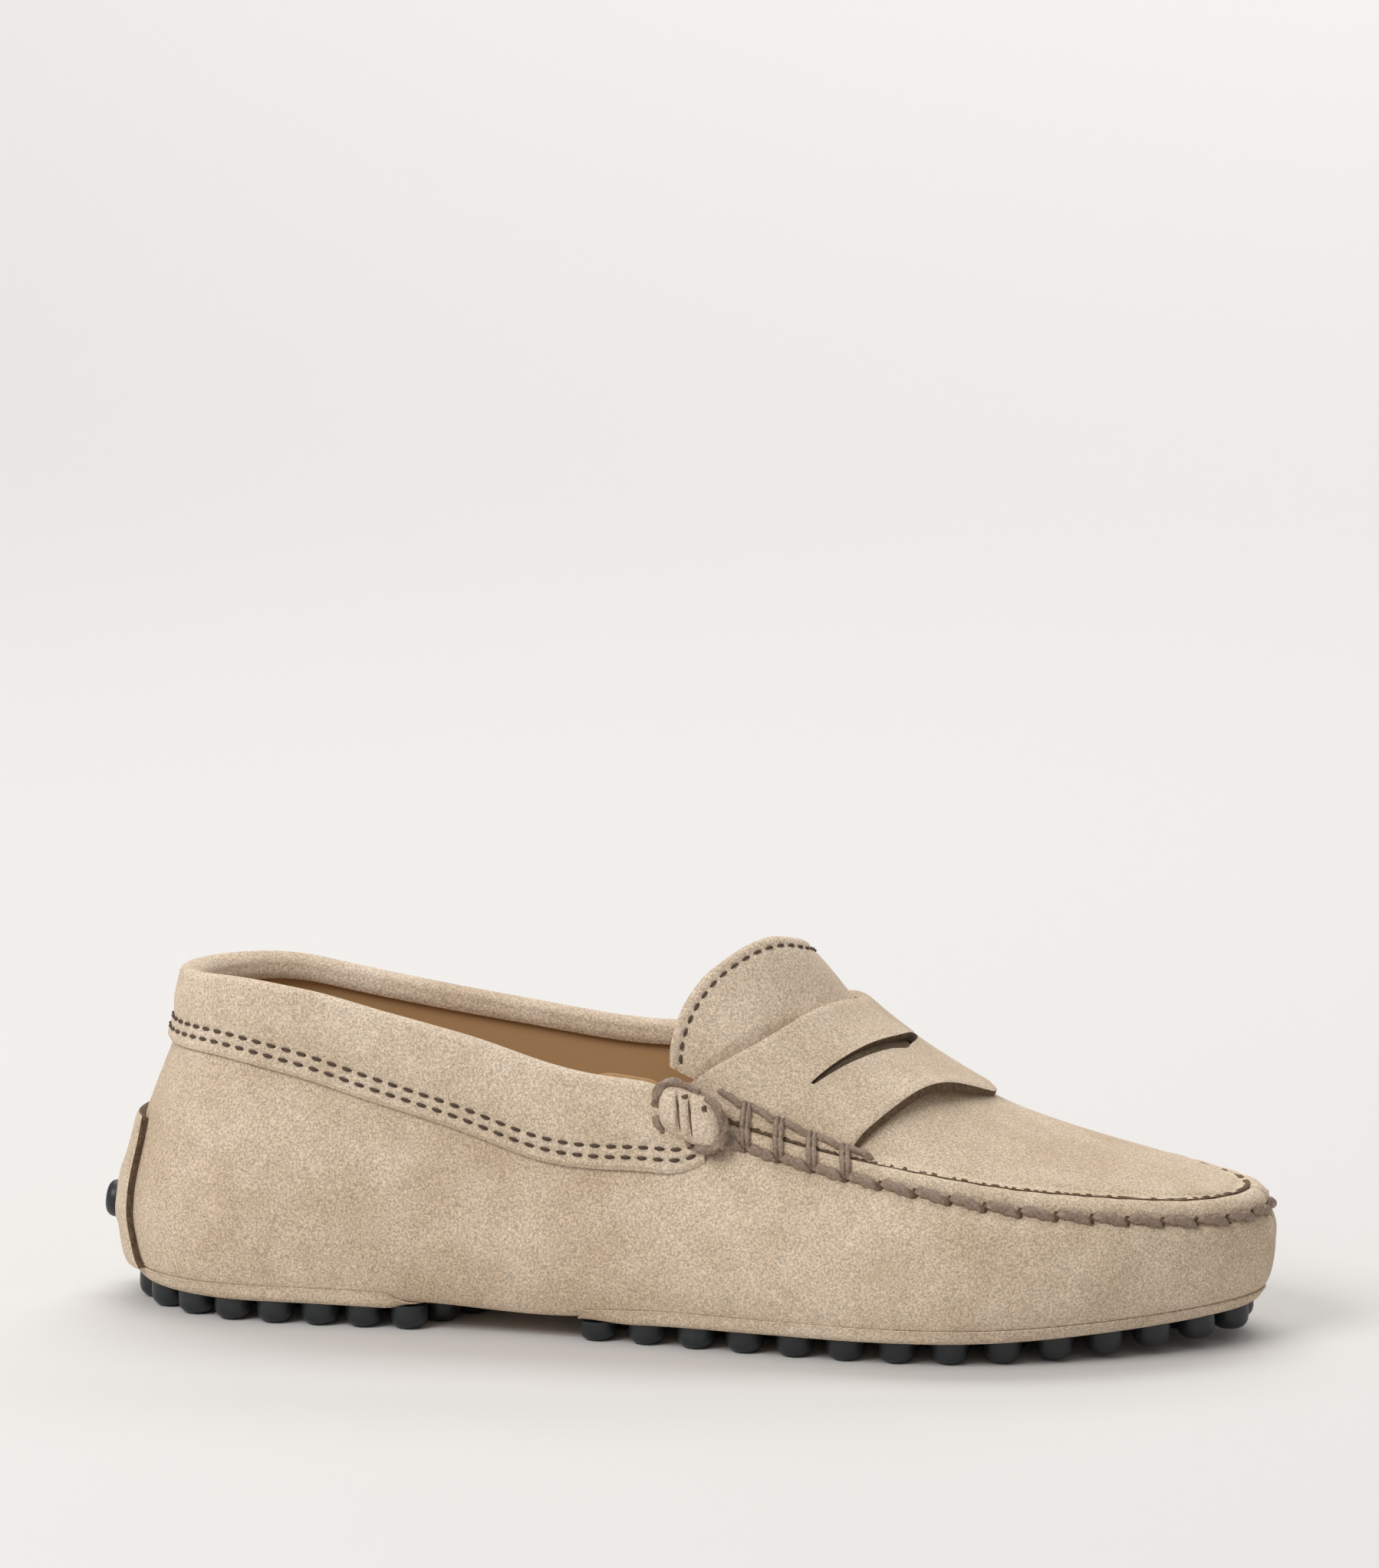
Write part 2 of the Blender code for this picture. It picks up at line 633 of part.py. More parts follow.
def add_studs(name, studs, finish, shape=STUD_SHAPE):
    """All studs of a pad as one helper mesh of separate closed bodies."""
    points, faces = [], []
    for centre, foot in studs:
        axis = (centre - foot).normalized()
        rings = stud(centre, axis, foot, shape)
        first = len(points)
        points += [p for ring in rings for p in ring]
        for r in range(len(rings) - 1):
            low, high = first + r * STUD_SIDES, first + (r + 1) * STUD_SIDES
            for c in range(STUD_SIDES):
                n = (c + 1) % STUD_SIDES
                faces.append((low + c, low + n, high + n, high + c))
        last = len(points) - STUD_SIDES
        faces.append(tuple(first + c for c in reversed(range(STUD_SIDES))))
        faces.append(tuple(last + c for c in range(STUD_SIDES)))
    helper = add_object(name, points, faces, finish)
    helper.hide_render = True
    helper.display_type = "WIRE"
    return helper


def boolean(target, operation, other):
    cut = target.modifiers.new(other.name, "BOOLEAN")
    cut.operation = operation
    cut.object = other


def pad_end(span, across):
    """(start, end) of a pad as shares of the length, with its cut end's corners rounded off."""
    start, end = span
    corner = PAD_CORNERS[start > 0.0] * across**2
    return (start if start == 0.0 else start + corner), (end if end == 1.0 else end - corner)


def stud_path(span):
    """The closed line that the outer row of studs follows, in from the pad's edges."""
    reach = (1 + STUD_LEVEL) / (1 + PAD_LEVEL)
    heel = span[0] == 0.0

    def spot(across, share):
        start, end = pad_end(span, across)
        inset = STUD_INSET / LENGTH
        start, end = (start, end - inset) if heel else (start + inset, end)
        return pad_point(start + (end - start) * share, across, GAP + PAD)

    shares = steps(0, 1, 60)
    closed_end = 0.0 if heel else 1.0
    if heel:
        shares.reverse()
    path = [spot(-reach, share) for share in shares]
    path += [spot(reach, share) for share in reversed(shares)]
    path += [spot(across, 1.0 - closed_end) for across in steps(reach, -reach, 20)[1:]]
    return [p.xy for p in path]


def spaced(path, pitch):
    """Points at even steps of about one pitch along a path."""
    lengths = [0.0]
    for a, b in zip(path, path[1:]):
        lengths.append(lengths[-1] + (b - a).length)
    count = max(1, round(lengths[-1] / pitch))
    found = []
    for i in range(count + 1):
        want = lengths[-1] * i / count
        k = min(len(path) - 2, max(n for n in range(len(path)) if lengths[n] <= want + 1e-12))
        share = (want - lengths[k]) / max(1e-9, lengths[k + 1] - lengths[k])
        found.append(path[k].lerp(path[k + 1], share))
    return found


def stud_places(span, pitch):
    """(x, y) of the studs of a pad: one row round its edge, and staggered rows inside."""
    outline = stud_path(span)
    places = spaced(outline, pitch)[:-1]
    low = min(p.x for p in outline)
    high = max(p.x for p in outline)
    reach = int(max(abs(p.y) for p in outline) / (ROW_PITCH * pitch)) + 1
    for row in range(-reach, reach + 1):
        shift = 0.5 * (row % 2)
        for k in range(int((high - low) / pitch) + 2):
            spot = Vector((low + (k + shift) * pitch, row * pitch * ROW_PITCH))
            if inside(spot, outline) and all((spot - p).length > CROWDING * pitch for p in places):
                places.append(spot)
    return places


def inside(spot, outline):
    """Whether a point lies within a closed outline, by counting crossings."""
    crossings = 0
    for a, b in zip(outline, outline[1:] + outline[:1]):
        if (a.y > spot.y) != (b.y > spot.y):
            x = a.x + (spot.y - a.y) / (b.y - a.y) * (b.x - a.x)
            crossings += x > spot.x
    return crossings % 2 == 1


def share_at(x):
    """Share of the length whose underside edge lies at x."""
    return (x - along(0.0, 0.0)) / (along(1.0, 0.0) - along(0.0, 0.0))


def make_sole(name, span, pitch, finish):
    """A pad under the upper with its studs moulded on."""
    start, end = span
    heel_end, toe_end = start == 0.0, end == 1.0
    if heel_end:
        rise = [HEEL_ROUND * (1 - math.cos(a)) for a in steps(0, math.pi / 2, 5)]
        places = rise + steps(HEEL_ROUND, end, 4)[1:]
    else:
        fall = [1 - TOE_ROUND * (1 - math.cos(a)) for a in steps(math.pi / 2, 0, 8)]
        places = steps(start, 1 - TOE_ROUND, 6)[:-1] + fall
    ids, top, under, faces = {}, [], [], []
    columns = 10
    last = len(places) - 1
    for k, at in enumerate(places):
        for c in range(columns + 1):
            across = 2 * c / columns - 1
            key = pad_key(k, c, columns, heel_end, toe_end, last)
            if key in ids:
                continue
            ids[key] = len(top)
            low, high = pad_end(span, across)
            place = low + (high - low) * (at - start) / (end - start)
            top.append(pad_point(place, across, GAP))
            under.append(pad_point(place, across, GAP + PAD))
    for k in range(last):
        for c in range(columns):
            face = [
                ids[pad_key(k + i, c + j, columns, heel_end, toe_end, last)]
                for i, j in ((0, 0), (0, 1), (1, 1), (1, 0))
            ]
            face = list(dict.fromkeys(face))
            if len(face) > 2:
                faces.append(face)
    pad = thick(name, faces, under, top, finish)
    studs = []
    for spot in stud_places(span, pitch):
        at = share_at(spot.x)
        lift = TOE_SPRING * SECTIONS("lift", min(1.0, max(0.0, at)))
        foot = Vector((*spot, max(0.0, lift)))
        studs.append((Vector((*spot, bottom(at) - GAP - PAD * 0.5)), foot))
    boolean(pad, "UNION", add_studs(name + "_studs", studs, finish))
    return pad


def pad_key(k, c, columns, heel_end, toe_end, last):
    """Grid points that fall together where a pad closes round the heel or the toe."""
    if (heel_end and k == 0) or (toe_end and k == last):
        return (k, min(c, columns - c))
    return (k, c)


def tab_point(across, share):
    """(point, outward direction) on the back of the heel, across and up the tab."""
    low, high = TAB_LEVELS
    level = low + (high - low) * share
    half = TAB_HALF[0] + (TAB_HALF[1] - TAB_HALF[0]) * share**3
    reach = abs(across) * half
    side = LATERAL if across < 0 else MEDIAL
    breadth = abs(wall(HEEL_ROUND, side, level).y)
    inside = 1 - math.sqrt(1 - min(1.0, reach / breadth) ** 2)
    at = HEEL_ROUND * inside
    if at < 1e-4:
        at = 0.0
    return wall(at, side, level), outward(at, side, level)


def tab_sheet(offset):
    return [
        p + n * offset
        for share in steps(0, 1, 6)
        for p, n in (tab_point(across, share) for across in steps(-1, 1, 8))
    ]


def make_heel_tab(suede, rubber):
    """The suede tab up the back of the heel, and behind it the rubber whose studs come through."""
    core = thick(
        "heel_tab_rubber", grid_faces(7, 9), tab_sheet(GAP + TAB_CORE), tab_sheet(GAP), rubber
    )
    clear = 2 * GAP + TAB_CORE
    cover = thick(
        "heel_tab", grid_faces(7, 9), tab_sheet(clear + TAB_COVER), tab_sheet(clear), suede
    )
    studs = []
    for across, share in TAB_STUDS:
        point, out = tab_point(across, share)
        root = point + out * (GAP + TAB_CORE * 0.5)
        studs.append((root, point + out * (clear + TAB_COVER + TAB_STUD)))
    boolean(core, "UNION", add_studs("tab_studs", studs, rubber))
    room = tuple((share, radius + GAP) for share, radius in ((0.0, STUD_RADIUS), (1.0, STUD_RADIUS)))
    boolean(cover, "DIFFERENCE", add_studs("tab_holes", studs, rubber, room))
    return core, cover


def centre_on_floor(objects):
    """Moves the shoe so that the middle of its length and breadth is over the origin."""
    bpy.context.view_layer.update()
    corners = np.array([o.matrix_world @ Vector(c) for o in objects for c in o.bound_box])
    middle = (corners.min(0) + corners.max(0)) / 2
    for o in bpy.context.scene.objects:
        o.location.x -= middle[0]
        o.location.y -= middle[1]


def main():
    for leftover in list(bpy.data.objects):
        bpy.data.objects.remove(leftover)
    suede = material("suede", (0.52, 0.41, 0.29), 0.95)
    leather = material("lining_leather", (0.50, 0.31, 0.15), 0.5)
    rubber = material("rubber", (0.03, 0.035, 0.04), 0.5)
    make_upper(suede)
    make_collar_band(suede)
    make_strap(suede)
    make_tongue(suede)
    make_seam_end(LATERAL, suede)
    make_seam_end(MEDIAL, suede)
    make_insole(leather)
    make_sole("heel_sole", HEEL_PAD, HEEL_PITCH, rubber)
    make_sole("forefoot_sole", FORE_PAD, FORE_PITCH, rubber)
    make_heel_tab(suede, rubber)
    centre_on_floor([o for o in bpy.context.scene.objects if not o.hide_render])


main()
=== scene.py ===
"""Looks of a sand-coloured suede driving moccasin, dressed over the shoe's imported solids.

Metres. +X points to the toe, +Y to the medial side and +Z up, with the floor at Z = 0.
"""

import math

import bmesh
import bpy
import numpy as np
from bpy.props import FloatProperty, FloatVectorProperty, PointerProperty
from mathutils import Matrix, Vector


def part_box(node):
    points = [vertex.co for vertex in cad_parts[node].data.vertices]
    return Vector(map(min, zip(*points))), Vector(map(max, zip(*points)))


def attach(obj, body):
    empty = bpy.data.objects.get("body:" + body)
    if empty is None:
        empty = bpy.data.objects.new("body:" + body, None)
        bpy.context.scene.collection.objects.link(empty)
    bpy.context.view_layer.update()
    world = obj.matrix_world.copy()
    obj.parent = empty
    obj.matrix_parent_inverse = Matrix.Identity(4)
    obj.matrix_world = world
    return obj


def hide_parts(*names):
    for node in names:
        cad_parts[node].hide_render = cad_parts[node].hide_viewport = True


bl_info = {
    "name": "Suede Driving Moccasin",
    "version": (1, 0, 0),
    "blender": (4, 5, 0),
    "location": "View3D > Sidebar > Moccasin",
    "description": "Leather, seams, studs and studio of a hand-sewn driving moccasin",
    "category": "Object",
}

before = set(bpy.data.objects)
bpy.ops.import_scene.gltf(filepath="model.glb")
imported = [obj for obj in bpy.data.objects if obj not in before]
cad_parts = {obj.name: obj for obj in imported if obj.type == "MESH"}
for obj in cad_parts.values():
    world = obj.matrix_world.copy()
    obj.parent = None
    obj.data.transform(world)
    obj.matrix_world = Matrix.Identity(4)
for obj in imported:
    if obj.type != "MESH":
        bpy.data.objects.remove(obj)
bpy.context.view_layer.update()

# Sizes of the last and of the pieces, as the solids have them
LENGTH = 0.2475
BALL_WIDTH = 0.0870
HEEL_HEIGHT = 0.0640
INSTEP_HEIGHT = 0.0595
TOE_SPRING = 0.0026
GAP = 0.0003
CHORD = 0.0002
WALL = 0.0018
BEAD = 0.0015
STRAP = 0.0019
TONGUE = 0.0018
BAND = 0.0012
ROLL = 0.0022
INSOLE = 0.0024
PAD = 0.0018
TAB_CORE = 0.0008
TAB_COVER = 0.0012
STUD_HEIGHT = 0.0045
STUD_RADIUS = 0.0040
HEEL_PITCH = 0.0096
FORE_PITCH = 0.0108
ROW_PITCH = 0.93
CROWDING = 0.90
TAB_STUD = 0.0026
LATERAL, MEDIAL = -1, 1
SIDE_NAMES = {LATERAL: "lateral", MEDIAL: "medial"}


def smooth(share):
    share = np.clip(share, 0.0, 1.0)
    return share * share * (3 - 2 * share)


def unit(vectors):
    return vectors / np.maximum(1e-12, np.linalg.norm(vectors, axis=-1, keepdims=True))


def bell(distance, width):
    return np.exp(-((distance / width) ** 2))


def spot(x, y, z):
    return np.stack(np.broadcast_arrays(x, y, z), axis=-1).astype(float)


class Table:
    """Rows of shares under named columns, read smoothly between the rows by the first column."""

    def __init__(self, columns, *rows):
        values = np.array(rows, float)
        self.knots = values[:, 0]
        self.values = {name: values[:, i] for i, name in enumerate(columns)}

    def __call__(self, name, at):
        knots, values = self.knots, self.values[name]
        slopes = np.empty_like(values)
        slopes[1:-1] = (values[2:] - values[:-2]) / (knots[2:] - knots[:-2])
        slopes[0] = (values[1] - values[0]) / (knots[1] - knots[0])
        slopes[-1] = (values[-1] - values[-2]) / (knots[-1] - knots[-2])
        at = np.clip(at, knots[0], knots[-1])
        i = np.clip(np.searchsorted(knots, at, side="right") - 1, 0, len(knots) - 2)
        step = knots[i + 1] - knots[i]
        t = (at - knots[i]) / step
        return (
            values[i] * (1 + 2 * t) * (1 - t) ** 2
            + slopes[i] * step * t * (1 - t) ** 2
            + values[i + 1] * t * t * (3 - 2 * t)
            + slopes[i + 1] * step * t * t * (t - 1)
        )


# Sections from heel to toe. Half-breadths and the centre line are shares of BALL_WIDTH, the height of
# the widest place is a share of INSTEP_HEIGHT, and the lift is a share of TOE_SPRING.
SECTIONS = Table(
    ("at", "lateral", "medial", "sole_lateral", "sole_medial", "widest", "lift", "centre"),
    (0.00, 0.350, 0.350, 0.322, 0.322, 0.24, 0.0, 0.000),
    (0.10, 0.356, 0.356, 0.325, 0.315, 0.26, 0.0, 0.000),
    (0.20, 0.364, 0.356, 0.328, 0.300, 0.28, 0.0, 0.000),
    (0.30, 0.368, 0.350, 0.325, 0.270, 0.28, -0.2, 0.000),
    (0.40, 0.385, 0.350, 0.340, 0.245, 0.28, -0.6, 0.000),
    (0.50, 0.425, 0.379, 0.378, 0.275, 0.27, -0.1, 0.000),
    (0.60, 0.471, 0.440, 0.425, 0.355, 0.24, 0.0, 0.000),
    (0.70, 0.500, 0.480, 0.455, 0.415, 0.22, 0.0, 0.000),
    (0.80, 0.494, 0.489, 0.447, 0.435, 0.21, 0.1, 0.010),
    (0.90, 0.458, 0.466, 0.405, 0.412, 0.20, 0.5, 0.030),
    (1.00, 0.400, 0.425, 0.340, 0.365, 0.20, 1.0, 0.050),
)

# The finished top line of the collar: half-breadths as shares of BALL_WIDTH, heights of HEEL_HEIGHT.
COLLAR = Table(
    ("at", "lateral", "medial", "rise_lateral", "rise_medial"),
    (0.00, 0.276, 0.276, 1.010, 1.010),
    (0.07, 0.280, 0.280, 1.027, 0.995),
    (0.14, 0.290, 0.290, 1.005, 0.945),
    (0.22, 0.312, 0.312, 0.950, 0.895),
    (0.31, 0.333, 0.333, 0.890, 0.852),
    (0.39, 0.350, 0.350, 0.826, 0.822),
    (0.45, 0.356, 0.356, 0.788, 0.802),
    (0.50, 0.362, 0.374, 0.775, 0.785),
)

# The seam between side and plug, and the crown line of the plug: half-breadths as shares of
# BALL_WIDTH, heights of INSTEP_HEIGHT.
SEAM = Table(
    ("at", "lateral", "medial", "rise", "crown"),
    (0.45, 0.356, 0.370, 0.800, 1.640),
    (0.50, 0.366, 0.388, 0.750, 1.430),
    (0.56, 0.370, 0.408, 0.680, 1.270),
    (0.60, 0.370, 0.416, 0.638, 1.125),
    (0.64, 0.370, 0.420, 0.600, 0.978),
    (0.69, 0.368, 0.420, 0.561, 0.828),
    (0.76, 0.362, 0.408, 0.512, 0.672),
    (0.81, 0.354, 0.394, 0.476, 0.596),
    (0.87, 0.348, 0.380, 0.438, 0.522),
    (0.92, 0.350, 0.372, 0.406, 0.470),
    (0.96, 0.356, 0.366, 0.382, 0.426),
    (1.00, 0.360, 0.360, 0.368, 0.368),
)

# How far each level of the wall stops short of the heel and of the toe, as shares of LENGTH. Level -1
# is the middle of the underside, 0 its edge, 1 the widest place and 2 the top line.
ENDS = Table(
    ("level", "heel", "toe"),
    (-1.0, 0.1050, 0.1050),
    (-0.5, 0.0520, 0.0580),
    (0.00, 0.0185, 0.0230),
    (0.33, 0.0060, 0.0085),
    (0.67, 0.0010, 0.0020),
    (1.00, 0.0000, 0.0000),
    (1.25, 0.0110, 0.0010),
    (1.50, 0.0320, 0.0045),
    (1.75, 0.0480, 0.0130),
    (2.00, 0.0555, 0.0240),
)

HEEL_ROUND, TOE_ROUND = 0.140, 0.270  # shares of the length over which the ends round off
THROAT = 0.515  # where the plug begins at the seam, as a share of the length
THROAT_BOW = 0.150  # how much further forward the plug begins at its middle
DOME = 2.2  # power of the plug's cross-section, from flat in the middle to steep at the seam
RIDGE = 0.22  # where the instep is highest, from the middle towards the medial seam
BEAD_START, BEAD_FULL = 0.549, 0.575  # where the raised seam comes out from under the seam's end
PAD_LEVEL = 0.30  # the pads' edges
STUD_LEVEL = -0.11  # the outer row of studs
HEEL_PAD = (0.0, 0.312)  # shares of the length from the heel that it covers
FORE_PAD = (0.418, 1.0)
PAD_CORNERS = (0.050, 0.022)  # how far the corners of the pads' cut ends round off, in lengths
STUD_INSET = 0.0045  # the outer row of studs, in from the pads' cut ends
BAND_END = 0.4845  # where the collar band stops against the seam's end
BAND_DROP = Table(  # depth of the collar band, as a share of HEEL_HEIGHT
    ("at", "drop"),
    (0.00, 0.245),
    (0.07, 0.262),
    (0.13, 0.275),
    (0.20, 0.287),
    (0.28, 0.300),
    (0.37, 0.312),
    (0.43, 0.300),
    (0.48, 0.280),
    (0.50, 0.260),
)

# Edges of the strap and its slot in lengths, from the lateral seam at -1 over the ridge of the instep
# at 0 to the medial seam at 1.
STRAP_EDGES = Table(
    ("place", "rear", "front", "slot"),
    (-1.00, 0.496, 0.656, 0.586),
    (-0.95, 0.512, 0.663, 0.595),
    (-0.75, 0.569, 0.686, 0.622),
    (-0.50, 0.603, 0.709, 0.648),
    (-0.20, 0.625, 0.738, 0.669),
    (0.05, 0.634, 0.756, 0.677),
    (0.30, 0.629, 0.755, 0.673),
    (0.60, 0.600, 0.722, 0.648),
    (0.80, 0.562, 0.692, 0.622),
    (1.00, 0.500, 0.662, 0.590),
)
# Edges of the tongue in lengths, from the ridge of the instep to either seam.
TONGUE_EDGES = Table(
    ("from_ridge", "rear", "front"),
    (0.00, 0.580, 0.705),
    (0.20, 0.573, 0.700),
    (0.35, 0.556, 0.692),
    (0.50, 0.535, 0.680),
    (0.65, 0.512, 0.655),
    (0.80, 0.496, 0.620),
    (0.95, 0.489, 0.570),
)
STRAP_REACH = 0.972  # how near the strap's ends come to the seam
TONGUE_REACH = 0.88  # how near the tongue's sides come to it
TONGUE_SIDES = ((0.0009, 0.0006), (0.0025, 0.0007), (0.0042, 0.0007))  # its turned-down sides: down and out
TONGUE_DIP = 0.026  # length over which the tongue dips under the plug
SLOT_REACH = 0.80  # the slot's half-length

SEAM_END = (0.4870, 0.546)  # the rolled ends of the seam, in lengths
SEAM_END_DROP = 0.0060
SEAM_END_RISE = 0.0044
SEAM_END_HEIGHT = 0.0052

# The heel tab: levels of its lower and upper edge, half-breadths and studs as (side, height) shares.
TAB_LEVELS = (0.34, 1.36)
TAB_HALF = (0.0170, 0.0125)
TAB_RISE = 0.034
TAB_STUDS = ((-0.20, 0.60), (0.44, 0.17))

# Looks-only sizes
SUEDE = 0.0010  # thickness of the shown suede
LINING = 0.0006
SHOWN_FOLD = 0.0027  # how far the collar band turns down inside
BEAD_PROFILE = Table(  # how far the seam's ridge stands out, by the depth under its top
    ("depth", "out"),
    (0.0000, -0.20),
    (0.0005, 0.45),
    (0.0014, 0.92),
    (0.0026, 0.96),
    (0.0036, 0.66),
    (0.0046, -0.25),
    (0.0056, -0.12),
    (0.0075, 0.10),
    (0.0110, 0.00),
)
# Rows of the mesh over the seam's ridge, in mm under its top
SEAM_DEPTHS = (7.5, 6.7, 6.1, 5.6, 5.1, 4.6, 4.1, 3.6, 3.1, 2.6, 2.0, 1.4, 0.9, 0.5, 0.2, 0.0)
THREAD_DEPTH = 0.0046  # the hand stitches, under the top of the seam
HEEL_TUCK = Table(  # how far the sewn heel draws in from the last, by the level of the wall
    ("level", "shift"),
    (-1.00, 0.0012),
    (-0.50, 0.0022),
    (0.00, 0.0026),
    (0.33, 0.0024),
    (0.67, 0.0023),
    (1.00, 0.0023),
    (1.25, 0.0026),
    (1.42, 0.0012),
    (1.60, 0.0008),
    (1.80, 0.0014),
    (2.00, 0.0026),
)
STITCH_START = 0.5352  # the first hole of the hand stitches, under the seam's rolled end
BARS_END = 0.664  # where the last cross bar lies, as a share of the length
BINDING = (0.395, 0.487)  # where the leather binding shows at the collar, in lengths
FLAP_END = 0.530  # where the collar band's front ends under the rolled seam end
FLAP_DROP = Table(("at", "drop"), (0.480, 0.280), (0.500, 0.262), (0.515, 0.232), (0.530, 0.180))

NAP_CONTRAST = 0.38  # how much the suede's fibres lighten and darken it
SUEDE_PATCHES = {"body_suede": 0.34, "apron_suede": 0.30, "collar_suede": 0.30, "strap_suede": 0.25}
# These finishes get suede painted paler, as painted light from above on the collar band and strap.
TOP_LIT_SUEDES = ("collar_suede", "strap_suede")
BAR_RADIUS = 0.00062  # of the threads across the seam
STITCH_FILL = 0.62  # share of its pitch that a machine stitch shows

# Soft creases pressed into the body: side, start and end as (at, level), depth and half-width
CREASES = (
    (LATERAL, (0.845, 1.10), (0.885, 1.62), 0.00045, 0.0040),
    (LATERAL, (0.900, 0.90), (0.925, 1.55), 0.00050, 0.0036),
    (LATERAL, (0.780, 0.90), (0.800, 1.30), 0.00030, 0.0050),
    (LATERAL, (0.440, 0.90), (0.560, 1.35), 0.00035, 0.0060),
    (LATERAL, (0.300, 1.05), (0.420, 1.30), 0.00030, 0.0070),
    (LATERAL, (0.070, 1.05), (0.110, 1.60), 0.00040, 0.0050),
    (LATERAL, (0.560, 0.95), (0.650, 1.20), 0.00030, 0.0060),
    (MEDIAL, (0.350, 0.95), (0.480, 1.40), 0.00045, 0.0060),
    (MEDIAL, (0.760, 0.95), (0.800, 1.45), 0.00040, 0.0040),
    (MEDIAL, (0.880, 0.95), (0.910, 1.55), 0.00045, 0.0036),
    (MEDIAL, (0.100, 1.05), (0.150, 1.55), 0.00040, 0.0050),
)


def end_rounding(at):
    """Share of the full breadth that is left near the heel and the toe."""
    inside = np.minimum(np.minimum(at / HEEL_ROUND, (1 - at) / TOE_ROUND), 1.0)
    return np.sqrt(np.maximum(0.0, 1 - (1 - inside) ** 2))


def bottom(at):
    return STUD_HEIGHT + PAD + GAP + TOE_SPRING * SECTIONS("lift", at)


def top_line(at, side):
    """(half-breadth, height) of the top of the wall: the collar behind the throat, the seam before it."""
    name = SIDE_NAMES[side]
    share = smooth((at - THROAT + 0.08) / 0.10)
    collar = HEEL_HEIGHT * COLLAR("rise_" + name, at) - ROLL
    seam = INSTEP_HEIGHT * SEAM("rise", at)
    across = (1 - share) * COLLAR(name, at) + share * SEAM(name, at)
    return BALL_WIDTH * across, bottom(at) + (1 - share) * collar + share * seam


def along(at, level):
    start, end = LENGTH * ENDS("heel", level), LENGTH * (1 - ENDS("toe", level))
    return start + at * (end - start) + HEEL_TUCK("shift", level) * (1 - smooth(at / 0.3))


def wall(at, side, level):
    """A point of the upper's smooth outer face, from the middle of the underside to the top line."""
    at, level = np.broadcast_arrays(np.asarray(at, float), np.asarray(level, float))
    name = SIDE_NAMES[side]
    sole = BALL_WIDTH * SECTIONS("sole_" + name, at)
    broad = BALL_WIDTH * SECTIONS(name, at)
    belly = INSTEP_HEIGHT * SECTIONS("widest", at)
    base = bottom(at)
    edge, top = top_line(at, side)
    lean = np.clip((at - 0.35) / 0.35, 0.0, 1.0)
    low, t = base + belly, level - 1
    pull = edge + (0.10 + 0.45 * lean) * (broad - edge)
    reach = low + (0.62 + 0.20 * lean) * (top - low)
    weights = ((1 - t) ** 3, 3 * t * (1 - t) ** 2, 3 * t * t * (1 - t), t**3)
    knots = ((broad, low), (broad, low + 0.42 * (top - low)), (pull, reach), (edge, top))
    turn = np.clip(level, 0.0, 1.0) * math.pi / 2
    across = np.where(level > 1, sum(w * k[0] for w, k in zip(weights, knots)), 0.0)
    height = np.where(level > 1, sum(w * k[1] for w, k in zip(weights, knots)), 0.0)
    across = np.where(level <= 1, sole + (broad - sole) * np.sin(turn), across)
    height = np.where(level <= 1, base + belly * (1 - np.cos(turn)), height)
    across = np.where(level <= 0, (1 + level) * sole, across)
    middle = BALL_WIDTH * SECTIONS("centre", at)
    return spot(along(at, level), middle + side * across * end_rounding(at), height)


def outward(at, side, level):
    """Unit normal of the wall, pointing out of the shoe."""
    at, level = np.broadcast_arrays(np.asarray(at, float), np.asarray(level, float))
    step = 1e-3
    level = np.minimum(level, 2 - step)
    u = wall(at + step, side, level) - wall(at - step, side, level)
    v = wall(at, side, level + step) - wall(at, side, level - step)
    normals = np.cross(u, v) * -side
    closing = (at <= 1e-6) | (at >= 1 - 1e-6)
    normals[..., 1] = np.where(closing & (level > -1), 0.0, normals[..., 1])
    return unit(normals)


def crown(at, across):
    """A point of the plug's outer face. across runs from -1 at the lateral seam to 1 at the medial one."""
    at, across = np.broadcast_arrays(np.asarray(at, float), np.asarray(across, float))
    lateral, medial = top_line(at, LATERAL), top_line(at, MEDIAL)
    edge = np.where(across < 0, lateral[0], medial[0])
    level = lateral[1] + (medial[1] - lateral[1]) * (1 + across) / 2
    peak = bottom(at) + INSTEP_HEIGHT * SEAM("crown", at)
    middle = BALL_WIDTH * SECTIONS("centre", at)
    from_ridge = (across - RIDGE) / np.where(across < RIDGE, 1 + RIDGE, 1 - RIDGE)
    height = level + (peak - level) * (1 - np.abs(from_ridge) ** DOME)
    return spot(along(at, 2.0), middle + across * edge * end_rounding(at), height)


def crown_normal(at, across):
    step = 1e-3
    u = crown(np.asarray(at) + step, across) - crown(np.asarray(at) - step, across)
    v = crown(at, np.asarray(across) + step) - crown(at, np.asarray(across) - step)
    return unit(np.cross(u, v))


def across_at(place):
    """Place across the plug, from -1 to 1 between the seams, of a share from the ridge to a seam."""
    place = np.asarray(place, float)
    return RIDGE + place * np.where(place < 0, 1 + RIDGE, 1 - RIDGE)


def plug_rear(place):
    """Where the plug begins, as a share of the length."""
    return THROAT + THROAT_BOW * (1 - np.asarray(place, float) ** 2)


def level_at(at, side, height):
    """Level of the wall at a height, between the widest place and the top line."""
    low, high = np.broadcast_arrays(np.full_like(np.asarray(height, float), 1.0), 2.0)
    low, high = low.copy(), high.copy()
    for _ in range(24):
        middle = (low + high) / 2
        under = wall(at, side, middle)[..., 2] < height
        low, high = np.where(under, middle, low), np.where(under, high, middle)
    return low


